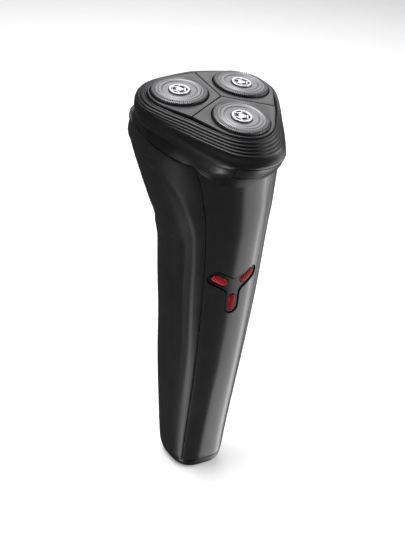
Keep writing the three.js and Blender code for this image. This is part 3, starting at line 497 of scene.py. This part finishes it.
# ---- Handle ----------------------------------------------------------------------------
def ring_point(height, share, inset=0.0):
    """Point of the handle's outline; share runs from 0 at the front to 1 at the back."""
    half, front, back, widest, front_power, back_power = lerp_table(SECTIONS, height)
    angle = math.pi * share
    across, along = math.sin(angle), math.cos(angle)
    power = 2 / (front_power if along >= 0 else back_power)
    reach = (front + widest if along >= 0 else back - widest) - inset
    x = (half - inset) * abs(across) ** power
    y = widest - reach * math.copysign(abs(along) ** power, along)
    return Vector((math.copysign(x, across) if x else 0.0, y, height))


def share_at(height, half_width):
    """Share of the front half ring at which the outline is that far from the middle."""
    half, _, _, _, front_power, _ = lerp_table(SECTIONS, height)
    return math.asin(min(1, half_width / half) ** (front_power / 2)) / math.pi


def soft_step(x, low, high):
    t = min(1, max(0, (x - low) / (high - low)))
    return t * t * (3 - 2 * t)


def housing_point(height, share):
    """Rear housing's face, with the ridge along the crease and the sunk grip behind it."""
    crease = lerp_table(CREASE, height)[0]
    edge = share_at(height, lerp_table(PANEL_EDGE, height)[0])
    point = ring_point(height, share)
    away = (share - crease) / 0.05
    fade = (1 - soft_step(height, 139, 146)) * soft_step(height, 20, 95)
    rise = max(0, (share - edge) / max(0.01, crease - edge))
    ridge = 0.6 * fade * (max(0, 1 - away) ** 1.5 if share > crease else rise)
    grip = 0.7 * soft_step(share, crease + 0.075, crease + 0.095) * (1 - soft_step(share, 0.8, 0.9)) \
        * (1 - soft_step(height, 106 + 8 * (0.45 - share), 109 + 8 * (0.45 - share))) \
        * soft_step(height, 45, 75)
    middle = Vector((0, 0, height))
    outwards = (point - middle).normalized()
    return point + outwards * (ridge - grip)


HEIGHTS = [3.8, 4.4, 5, 6.5, 8, 10, 12] + [12 + 4.5 * i for i in range(1, 22)] \
    + [107.5 + 1.5 * i for i in range(2)] + [110, 110.8, 112, 114, 116, 118, 120, 122, 124, 126, 128,
                                            130, 131.5, 133, 134.5, 136, 137.5, 139, 140.5, 142,
                                            143.5, 145.5, 148, 151, 155]
parting_normal = (HEAD.to_3x3() @ Vector((0, -PARTING_SLOPE, 1))).normalized()
parting_point = HEAD @ Vector((0, 0, -PARTING_DEPTH - 0.3))


def housing_row(height):
    edge = share_at(height, lerp_table(PANEL_EDGE, height)[0] + SEAM)
    crease = lerp_table(CREASE, height)[0]
    shares = [edge + (crease - edge) * i / 4 for i in range(4)]
    shares += [crease + 0.095 * i / 5 for i in range(5)]
    shares += [crease + 0.095 + (1 - crease - 0.095) * i / 15 for i in range(16)]
    right = [housing_point(height, s) for s in shares]
    left = [Vector((-p.x, p.y, p.z)) for p in reversed(right[:-1])]
    return right + left


housing = sheet("rear_shell", [housing_row(h) for h in HEIGHTS])
bisect(housing, parting_point, parting_normal)
thicken(housing, WALL)
soften(housing, 0.22, angle=55)
smooth(housing, 32)


def panel_row(height, inset=0.0):
    edge = share_at(height, lerp_table(PANEL_EDGE, height)[0] - SEAM)
    shares = [edge * i / 12 for i in range(-12, 13)]
    row = [ring_point(height, s, inset) for s in shares]
    return row


panel = sheet("front_cover", [panel_row(h) for h in HEIGHTS])
bisect(panel, parting_point, parting_normal)
thicken(panel, WALL)


def pill(name, radius, stretch, vertices):
    """A rod through the front, one side of which is drawn down into a rounded slot."""
    piece = rod(name, radius, -20, 20, vertices=vertices)
    placed(piece, Matrix.Rotation(math.pi / 2, 4, "X"))
    pick(piece)
    bpy.ops.object.mode_set(mode="EDIT")
    bpy.ops.mesh.select_all(action="DESELECT")
    mesh = bmesh.from_edit_mesh(piece.data)
    for vert in mesh.verts:
        vert.select_set(vert.co.z < -1e-5)
    bpy.ops.transform.translate(value=(0, 0, -stretch * MM))
    bpy.ops.object.mode_set(mode="OBJECT")
    return piece


def arm_place(arm):
    """Place of one of the button's three arms."""
    return Matrix.Translation(BUTTON_CENTRE) @ Matrix.Rotation(arm * 2 * math.pi / 3, 4, "Y")


def y_cutter(name, grown):
    """Three rounded arms through the front, one down and two up."""
    arms = []
    for arm in range(3):
        piece = pill(f"{name}_{arm}", BUTTON_HALF + grown, BUTTON_ARM - BUTTON_HALF, 40)
        arms.append(placed(piece, arm_place(arm)))
    whole = arms[0]
    cut(whole, arms[1], "UNION")
    cut(whole, arms[2], "UNION")
    pick(whole)
    bpy.ops.object.mode_set(mode="EDIT")
    bpy.ops.mesh.select_mode(type="EDGE")
    bpy.ops.mesh.select_all(action="DESELECT")
    mesh = bmesh.from_edit_mesh(whole.data)
    for edge in mesh.edges:
        a, b = edge.verts
        middle = (a.co + b.co) / 2 / MM - BUTTON_CENTRE
        along = abs(a.co.y - b.co.y) > 0.03
        if along and math.hypot(middle.x, middle.z) < 4 and edge.calc_face_angle(0) > 0.7:
            edge.select_set(True)
    bpy.ops.mesh.bevel(offset=1.5 * MM, segments=5, affect="EDGES")
    bpy.ops.mesh.select_mode(type="VERT")
    bpy.ops.object.mode_set(mode="OBJECT")
    whole.name = name
    return whole


cut(panel, y_cutter("button_opening", 0.45))
soften(panel, 0.28, angle=50)
smooth(panel, 30)
finish_with(panel, "WEIGHTED_NORMAL", keep_sharp=True, weight=80)

button = sheet("button_face", [panel_row(h, BUTTON_SUNK) for h in HEIGHTS if 70 < h < 112])
thicken(button, 2.4)
cut(button, y_cutter("button_outline", 0), "INTERSECT")
soften(button, 0.18, angle=50)
smooth(button, 32)


def cover_y(x, z, inset):
    """Depth of the front face at a place across and up."""
    return ring_point(z, share_at(z, abs(x)), inset).y


def ribbed_insert(name, arm):
    """A domed pill with eight cross ribs, laid on the button's curved face; the valleys between the ribs get
    painted shade.
    """
    start, end, half = 3.5, 10.2, 1.35
    turn = arm * 2 * math.pi / 3
    direction = Vector((-math.sin(turn), -math.cos(turn)))
    sideways = Vector((math.cos(turn), -math.sin(turn)))
    rows = []
    steps = 64
    for i in range(-1, steps + 2):
        u = min(max(i, 0), steps) / steps
        along = start + (end - start) * u
        near = min(along - start, end - along)
        width = math.sqrt(max(0.02, half ** 2 - max(0, half - near) ** 2))
        row = []
        for j in range(-8, 9):
            v = max(-7, min(7, j)) / 7
            skirt = i in (-1, steps + 1) or abs(j) == 8
            spot = direction * along + sideways * (v * width)
            rib = 0.5 - 0.5 * math.cos(2 * math.pi * INSERT_RIBS * u)
            rise = 0.2 * (1 - v * v) * width / half + 0.55 * rib * (1 - v ** 4)
            height = BUTTON_HEIGHT + spot.y
            y = cover_y(spot.x, height, BUTTON_SUNK - rise) if not skirt else cover_y(spot.x, height, 1.6)
            row.append((spot.x, y, height))
        rows.append(row)
    piece = sheet(name, rows)
    for face in piece.data.polygons:
        place = face.center / MM
        u = (place.x * direction.x + (place.z - BUTTON_HEIGHT) * direction.y - start) / (end - start)
        # Faces in the valleys between the ribs take the second slot, a darker red that is painted shade.
        face.material_index = int(math.cos(2 * math.pi * INSERT_RIBS * u) > 0.25)
    return smooth(piece, 60)


inserts = [ribbed_insert(f"insert_pill_{label}", arm)
           for arm, label in enumerate(("down", "left", "right"))]

# Pockets in the button's face for the three inserts.
for arm in range(3):
    cut(button, placed(pill("pocket", 1.62, 4.2, 32), arm_place(arm) @ Matrix.Translation((0, 0, -4.75))))

# Bottom cap, with the mouth of the charging socket.
cap_rows = []
for height, inset in [(CAP_HEIGHT, WALL), (CAP_HEIGHT, 0), (2.6, 0), (2, 0), (1.2, 0), (0.6, 0),
                      (0.25, 0), (0, 0.25), (0, 2), (0, 6), (0, 8.5)]:
    cap_rows.append([ring_point(height, s / 28, inset) for s in range(-28, 28)])
bottom = sheet("base_cap", cap_rows, wrap=True, fill=(True, True))
cut(bottom, brick("socket_mouth", (-4.7, 4 - 2.9, -1), (4.7, 4 + 2.9, 12)))
soften(bottom, 0.15, angle=60)
smooth(bottom, 35)

fit(housing, "handle", "matte_grey", "rear_housing")
fit(panel, "handle", "gloss_black", "front_panel")
fit(bottom, "handle", "satin_black", "bottom_cap")
fit(button, "power_button", "satin_black", "power_button")
for piece, label in zip(inserts, ("down", "left", "right")):
    fit(piece, "power_button", "red_plastic", f"button_insert_{label}", more=(PAINTED_GROOVE_SHADE,))


# ---- Head shell ------------------------------------------------------------------------
def blend_levels(a, b, share):
    return tuple(p + share * (q - p) for p, q in zip(a, b))


def rim_level(share):
    """The rim drops evenly at the front; its back corners swell out early."""
    even = blend_levels(RIM_TOP, RIM_FOOT, share)
    early = blend_levels(RIM_TOP, RIM_FOOT, 1 - (1 - share) ** 3)
    return even[:3] + early[3:]


def plate_lift(x, y):
    along = max(x * math.cos(a) + y * math.sin(a) for a in DIRECTIONS)
    return (CUTTER_CIRCLE - along) * math.tan(CUTTER_TILT)


def head_ring(level, inset=0.0, lift=0.0, depth=None):
    """Rounded triangle with bowed sides at a level of the head."""
    level_depth, grow, front, grow_back, back, rear = level
    arcs = []
    for corner, direction in enumerate(DIRECTIONS):
        radius = GUARD_RADIUS + (grow_back if corner else grow) - inset
        reach = CUTTER_CIRCLE + (back if corner else front)
        arc = []
        for i in range(17):
            angle = direction + math.radians(52 * (2 * i / 16 - 1))
            arc.append(Vector((reach * math.cos(direction) + radius * math.cos(angle),
                               reach * math.sin(direction) + radius * math.sin(angle)
                               + (rear if corner else 0))))
        arcs.append(arc)
    ring = []
    for corner, arc in enumerate(arcs):
        ring += arc
        chord = arcs[(corner + 1) % 3][0] - arc[-1]
        bow = chord.length * math.tan(math.radians(8) / 2) / 2
        outwards = Vector((chord.y, -chord.x)).normalized()
        for i in range(1, 10):
            t = i / 10
            ring.append(arc[-1] + chord * t + outwards * (bow * 4 * t * (1 - t)))
    z = -(level_depth if depth is None else depth)
    return [HEAD @ Vector((p.x, p.y, z + lift * plate_lift(p.x, p.y))) for p in ring]


def reach_of(ring, origin, angle):
    """Distance from origin to an outline in the direction of an angle, seen from above."""
    way = Vector((math.cos(angle), math.sin(angle)))
    best = 0
    for a, b in zip(ring, ring[1:] + ring[:1]):
        a2, b2 = Vector((a.x, a.y)) - origin, Vector((b.x, b.y)) - origin
        edge = b2 - a2
        cross = way.x * edge.y - way.y * edge.x
        if abs(cross) < 1e-9:
            continue
        along = (a2.x * edge.y - a2.y * edge.x) / cross
        part = (a2.x * way.y - a2.y * way.x) / cross
        if along > 0 and -1e-6 <= part <= 1 + 1e-6:
            best = max(best, along)
    return best


def on_parting(x, y, drop):
    z = parting_point.z - (parting_normal.x * (x - parting_point.x)
                           + parting_normal.y * (y - parting_point.y)) / parting_normal.z
    return Vector((x, y, z - drop))


origin = Vector((0, -3))
shoulder_ring = [ring_point(143, s / 60, 0.15) for s in range(-60, 60)]
collar_ring = head_ring(COLLAR_LEVELS[-1])


def meet_housing(row, above):
    """Draws a row of the skirt out so that its foot lands on the housing's shoulder."""
    out = []
    for point, start in zip(row, above):
        flat, begun = Vector((point.x, point.y)) - origin, Vector((start.x, start.y)) - origin
        foot = on_parting(point.x, point.y, 0).z
        t = min(1, max(0, (start.z - point.z) / max(0.5, start.z - foot)))
        target = reach_of(shoulder_ring, origin, math.atan2(flat.y, flat.x))
        reach = max(flat.length, begun.length + (target - begun.length) * t)
        spot = origin + flat.normalized() * reach
        out.append(Vector((spot.x, spot.y, point.z)))
    return out


RIDGES = 5
BULGE = 0.36
well_edge = (RIM_TOP[0], RIM_TOP[1] - 0.4, RIM_TOP[2], RIM_TOP[1] - 0.4, RIM_TOP[2], 0)
ledge = (1.8, 0.9, 0, 0.9, 0, 0)


def lift_share(depth):
    """How much of the plates' lean a level of the rim still follows."""
    return max(0, min(1, 1 - (depth - 0.8) / 8.2))


shell_rows = [
    head_ring(ledge, lift=1, depth=1.9),
    head_ring(well_edge, lift=1, depth=1.9),
    head_ring(well_edge, lift=1, depth=RIM_TOP[0] + 0.15),
    head_ring(RIM_TOP, inset=0.25, lift=1, depth=RIM_TOP[0] - 0.02),
    head_ring(RIM_TOP, inset=0.05, lift=1, depth=RIM_TOP[0] + 0.05),
]
for ridge in range(RIDGES):
    upper, lower = rim_level(ridge / RIDGES), rim_level((ridge + 1) / RIDGES)
    pitch = lower[0] - upper[0]
    foot = lower[0] - 0.66 * pitch
    shell_rows += [
        head_ring(upper, depth=foot - 0.14, lift=lift_share(foot)),
        head_ring(upper, inset=-0.06, depth=foot, lift=lift_share(foot)),
        head_ring(lower, inset=0.28, depth=foot + 0.03, lift=lift_share(foot)),
        head_ring(lower, inset=0.06, depth=foot + 0.12, lift=lift_share(foot)),
    ]
for a, b, cuts in ((RIM_FOOT, SKIRT_WIDE, 4), (SKIRT_WIDE, SKIRT_TURN, 4)):
    for i in range(cuts):
        level = blend_levels(a, b, i / cuts)
        # The bulge of the skirt is rounded, not faceted, and stays inside the CAD outline.
        bulge = BULGE * math.sin(math.pi * i / cuts)
        drawn_in = 0 if a is RIM_FOOT and i == 0 else BULGE
        shell_rows.append(head_ring(level, inset=drawn_in - bulge, lift=lift_share(level[0])))
turn_row = head_ring(SKIRT_TURN, inset=BULGE)
shell_rows.append(turn_row)
for a, b, cuts in ((SKIRT_TURN, SKIRT_FOOT, 3), (SKIRT_FOOT, SKIRT_END, 2)):
    for i in range(1, cuts + 1):
        shell_rows.append(meet_housing(head_ring(blend_levels(a, b, i / cuts)), turn_row))
shell = sheet("head_cover", shell_rows, wrap=True)
bisect(shell, HEAD @ Vector((0, 0, -PARTING_DEPTH)), -parting_normal)
# A thin wall with a plain offset keeps clear of the guards when they are pressed in.
thicken(shell, 1.0, even=False)


def head_box(name, low, high):
    return placed(brick(name, low, high), HEAD)


cut(shell, head_box("button_notch", (-9.3, -45, -14.5), (9.3, -24.6, -9.3)))
soften(shell, 0.1, angle=50)
smooth(shell, 30)
fit(shell, "shaving_unit", "satin_black", "head_shell")

# Release button: its own piece of the skirt.
tab_rows = []
for a, b, cuts in ((RIM_FOOT, SKIRT_WIDE, 2), (SKIRT_WIDE, SKIRT_TURN, 4), (SKIRT_TURN, SKIRT_FOOT, 4),
                   (SKIRT_FOOT, SKIRT_END, 3)):
    for i in range(cuts):
        tab_rows.append(head_ring(blend_levels(a, b, i / cuts)))
tab_rows.append(head_ring(SKIRT_END))
tab = sheet("release_cover", tab_rows, wrap=True)
thicken(tab, 1.8)
cut(tab, head_box("tab_keep", (-9, -45, -14.2), (9, -25, -9.6)), "INTERSECT")
soften(tab, 0.35, angle=45, segments=3)
smooth(tab, 35)
fit(tab, "release_button", "satin_black", "release_button")

# Collar that the head closes onto.
collar = sheet("neck_ring", [head_ring(level) for level in COLLAR_LEVELS], wrap=True)
bisect(collar, parting_point, parting_normal)
thicken(collar, 1.2)
smooth(collar, 40)
fit(collar, "handle", "satin_black", "neck_collar")

# Hinge: a knuckle on the shaving unit between two ears of the housing.
hinge_turn = HEAD @ Matrix.Translation((0, HINGE_BACK, -HINGE_DEPTH)) \
    @ Matrix.Rotation(math.pi / 2, 4, "Y")


def hinge_leaf(name, low, high, drop, into):
    """A barrel with a web drawn out of it towards the piece that carries it."""
    piece = rod(name, KNUCKLE_RADIUS, low, high, vertices=40)
    pick(piece)
    bpy.ops.object.mode_set(mode="EDIT")
    bpy.ops.mesh.select_mode(type="FACE")
    bpy.ops.mesh.select_all(action="DESELECT")
    mesh = bmesh.from_edit_mesh(piece.data)
    for face in mesh.faces:
        face.select_set(face.normal.dot(Vector(into)) > 0.8)
    bmesh.update_edit_mesh(piece.data)
    bpy.ops.mesh.extrude_region_move(TRANSFORM_OT_translate={"value": Vector(into) * drop * MM})
    bpy.ops.mesh.select_mode(type="VERT")
    bpy.ops.object.mode_set(mode="OBJECT")
    soften(piece, 0.3, angle=60)
    smooth(piece, 35)
    return placed(piece, hinge_turn)


knuckle = hinge_leaf("hinge_knuckle", -6.5, 6.5, 4.0, (0, -1, 0))
fit(knuckle, "shaving_unit", "satin_black")
for side in (-1, 1):
    low, high = sorted((side * 7.0, side * 11.0))
    ear = hinge_leaf(f"hinge_ear_{'left' if side < 0 else 'right'}", low, high, 6.5, (0.97, -0.24, 0))
    fit(ear, "handle", "matte_grey")


# Shelf that closes the shoulders between the housing and the collar.
outer, inner = [], []
for i in range(96):
    angle = 2 * math.pi * i / 96
    way = Vector((math.cos(angle), math.sin(angle)))
    far = origin + way * reach_of(shoulder_ring, origin, angle)
    near = origin + way * min(reach_of(collar_ring, origin, angle) - 0.6,
                              reach_of(shoulder_ring, origin, angle) - 0.6)
    outer.append(on_parting(far.x, far.y, 0.5))
    inner.append(on_parting(near.x, near.y, 0.5))
shelf = sheet("shoulder_shelf", [outer, inner], wrap=True)
thicken(shelf, 1.0, offset=1 if shelf.data.polygons[0].normal.z < 0 else -1)
smooth(shelf, 30)
fit(shelf, "handle", "matte_grey")

# ---- Shaving heads ---------------------------------------------------------------------
UNITS = [HEAD @ Matrix.Rotation(i * 2 * math.pi / 3, 4, "Z") @ Matrix.Translation((0, -CUTTER_CIRCLE, 0))
         @ Matrix.Rotation(CUTTER_TILT, 4, "X") for i in range(3)]

# One sector plate: its outline is set, raised to its thickness, bored and edged.
plate_radius = GUARD_RADIUS + RIM_TOP[1] - 0.4 - 0.25
centre = CUTTER_CIRCLE + RIM_TOP[2]
side = centre / 2 + plate_radius
shift = 0.2 / math.sin(math.pi / 3)
outline = [Vector((0, -shift))]
outline += [Vector((-side * math.cos(math.pi / 6) * t, -side * math.sin(math.pi / 6) * t - shift))
            for t in (0.5, 0.995)]
outline += [Vector((plate_radius * math.cos(a), -centre + plate_radius * math.sin(a)))
            for a in (math.radians(210 + 120 * i / 32) for i in range(1, 32))]
outline += [Vector((side * math.cos(math.pi / 6) * t, -side * math.sin(math.pi / 6) * t - shift))
            for t in (0.995, 0.5)]
clear()
bpy.ops.mesh.primitive_circle_add(vertices=len(outline), radius=0.01, fill_type="NGON")
plate = bpy.context.object
bpy.ops.object.mode_set(mode="EDIT")
bpy.ops.mesh.select_all(action="DESELECT")
mesh = bmesh.from_edit_mesh(plate.data)
mesh.verts.ensure_lookup_table()
settle(mesh.verts, [(p.x, p.y + CUTTER_CIRCLE, 0) for p in outline])
bpy.ops.mesh.select_all(action="SELECT")
bpy.ops.mesh.extrude_region_move(TRANSFORM_OT_translate={"value": (0, 0, -1.5 * MM)})
bpy.ops.mesh.select_all(action="SELECT")
bpy.ops.mesh.normals_make_consistent(inside=False)
bpy.ops.mesh.select_all(action="DESELECT")
bpy.ops.object.mode_set(mode="OBJECT")
cut(plate, rod("well", GUARD_RADIUS + 0.4, -5, 5, vertices=96))
soften(plate, 0.14, angle=50)
smooth(plate, 35)

# One slotted guard: a spun profile, then every second segment of its track is sunk.
SLOT_STEPS = 176
top = 1.1
guard = turned("guard", [
    (4.1, 0.3), (9.9, 0.3), (9.9, -3.2), (11.05, -3.2), (11.05, -2.3), (10.5, -2.3), (10.5, -0.35),
    (10.5, 0.55), (10.44, 0.78), (10.28, 0.96), (10.05, 1.06), (9.8, top), (8.6, top), (8.2, top),
    (8.0, top - 0.12), (7.8, top - 0.14), (7.6, top - 0.02), (6.6, top - 0.02), (6.4, top - 0.2),
    (6.2, top - 0.22), (6.0, top - 0.12), (4.9, top - 0.2), (4.1, top - 0.3), (4.1, 0.3)],
    steps=SLOT_STEPS)


def slot_face(radius, angle, height, normal):
    odd = int(angle / (2 * math.pi / SLOT_STEPS)) % 2 == 1
    on_track = 8.5 < radius < 10.02 and height > 0.9
    over_rim = radius > 9.95 and -0.3 < height < 1.08
    return odd and (on_track or over_rim)


sink_faces(guard, slot_face, 0.45, 1)
smooth(guard, 30)


# One trim cap: rings set one by one from a round rim to a rounded triangle at the middle.
def cap_ring(radius, height, lobes=0.0, turn=0.0):
    steps = 96
    ring = []
    for i in range(steps):
        angle = 2 * math.pi * i / steps
        r = radius * (1 + lobes * math.cos(3 * (angle - turn)))
        ring.append((r * math.cos(angle), r * math.sin(angle), height))
    return ring


up = math.pi / 2
cap_top = 1.38
cap_levels = [(3.85, -0.2, 0), (3.85, 1.1, 0), (3.8, 1.27, 0), (3.68, cap_top, 0), (3.2, cap_top, 0),
              (3.05, cap_top - 0.03, 0), (2.75, cap_top - 0.03, 0), (2.6, cap_top - 0.03, 0.01),
              (2.2, cap_top - 0.03, 0.03), (1.9, cap_top - 0.03, 0.06), (1.72, cap_top - 0.02, 0.09),
              (1.4, cap_top - 0.02, 0.11), (1.25, cap_top, 0.12), (0.6, cap_top + 0.02, 0.08)]
cap = sheet("trim", [cap_ring(r, z, lobes, up) for r, z, lobes in cap_levels], wrap=True,
            fill=(True, True))


def aperture(radius, angle, height, normal):
    """Three windows and three narrow bars round the middle, and the ring round the triangle."""
    if normal.z < 0.5 or height < 1.2:
        return False
    lobe = (angle - up) % (2 * math.pi / 3)
    lobe = min(lobe, 2 * math.pi / 3 - lobe)
    window = lobe > math.radians(30) and 1.95 < radius < 3.1 and not 2.6 < radius < 2.74
    bar = lobe < math.radians(22) and 2.3 < radius < 3.1
    moat = 1.38 < radius < 1.8 and lobe > math.radians(6)
    return window or bar or moat


sink_faces(cap, aperture, 0.35, 1)
smooth(cap, 30)

for i, side_name in enumerate(SIDES):
    for model, name, body, slot, more in (
            (plate, f"sector_{side_name}", "shaving_unit", "plate_grey", ()),
            (guard, f"slotted_guard_{side_name}", f"shaving_head_{side_name}", "guard_steel",
             (SLOT_SHADOW,)),
            (cap, f"trim_disc_{side_name}", f"shaving_head_{side_name}", "bright_steel", (SLOT_SHADOW,))):
        stands_for = {"sector": "head_plate", "slotted_guard": "guard", "trim_disc": "guard_cap"}
        node = stands_for[name[: -len(side_name) - 1]] + "_" + side_name
        fit(duplicate(model, name, UNITS[i]), body, slot, node, more=more)
for model in (plate, guard, cap):
    bpy.data.objects.remove(model)

# ---- Floor, light and camera -----------------------------------------------------------
clear()
bpy.ops.mesh.primitive_plane_add(size=4, location=(0, 0.6, -0.0002))
floor = bpy.context.object
floor.name = "floor"
bpy.ops.object.mode_set(mode="EDIT")
bpy.ops.mesh.select_mode(type="EDGE")
bpy.ops.mesh.select_all(action="DESELECT")
mesh = bmesh.from_edit_mesh(floor.data)
for edge in mesh.edges:
    edge.select_set(all(v.co.y > 1.9 for v in edge.verts))
bpy.ops.mesh.extrude_edges_move(TRANSFORM_OT_translate={"value": (0, 0, 2.5)})
bpy.ops.mesh.select_all(action="DESELECT")
mesh = bmesh.from_edit_mesh(floor.data)
for edge in mesh.edges:
    edge.select_set(all(v.co.y > 1.9 and v.co.z < 0.1 for v in edge.verts))
bpy.ops.mesh.bevel(offset=0.6, segments=12, affect="EDGES")
bpy.ops.mesh.select_mode(type="VERT")
bpy.ops.object.mode_set(mode="OBJECT")
smooth(floor, 60)
paper = finish("studio_paper", (0.86, 0.86, 0.86), (0.9, 0.9, 0.9), 0.7, 0.05, grain=0.03)
floor.data.materials.append(paper)
nodes, link = paper.node_tree.nodes, paper.node_tree.links.new
seen = nodes.new("ShaderNodeLightPath")
link(seen.outputs["Is Camera Ray"], nodes["Principled BSDF"].inputs["Emission Color"])
nodes["Principled BSDF"].inputs["Emission Strength"].default_value = 0.3
floor.visible_glossy = False
floor.visible_shadow = False

world = bpy.data.worlds.new("studio")
bpy.context.scene.world = world
world.use_nodes = True
world.node_tree.nodes["Background"].inputs["Color"].default_value = (1, 1, 1, 1)
world.node_tree.nodes["Background"].inputs["Strength"].default_value = 0.1


def soft_light(name, place, aim, width, height, power):
    bpy.ops.object.light_add(type="AREA", location=place)
    light = bpy.context.object
    light.name = name
    light.data.shape = "RECTANGLE"
    light.data.size = width
    light.data.size_y = height
    light.data.energy = power
    light.visible_camera = False
    light.rotation_euler = (Vector(aim) - Vector(place)).to_track_quat("-Z", "Y").to_euler()
    return light


clear()
soft_light("top_box", (-0.1, 0.1, 0.8), (0, 0.05, 0), 0.5, 0.5, 8)
soft_light("back_box", (0.4, 0.45, 0.62), (0, 0, 0.15), 0.5, 0.5, 2)
soft_light("right_card", (0.26, -0.15, -0.02), (0, 0, 0.06), 0.3, 0.6, 1.6)
soft_light("right_edge_card", (0.3, 0.0, -0.02), (0, 0, 0.06), 0.14, 0.6, 0.45)
soft_light("left_card", (-0.4, -0.12, -0.37), (0, 0, 0.12), 0.2, 0.16, 1.3)
soft_light("left_fill_card", (-0.45, -0.1, -0.04), (0, 0, 0.1), 0.2, 0.25, 0.25)

EYE = Vector((-0.2077, -0.3372, 0.2852))
AIM = Vector((0, 0.0003, 0.086))
ROLL = math.radians(3.92)
bpy.ops.object.camera_add(location=EYE)
camera = bpy.context.object
camera.name = "camera"
look = (AIM - EYE).to_track_quat("-Z", "Y").to_matrix() @ Matrix.Rotation(ROLL, 3, "Z")
camera.rotation_euler = look.to_euler()
camera.data.lens = 75.4
camera.data.sensor_width = 36
bpy.context.scene.camera = camera
bpy.context.scene.view_settings.view_transform = "Standard"
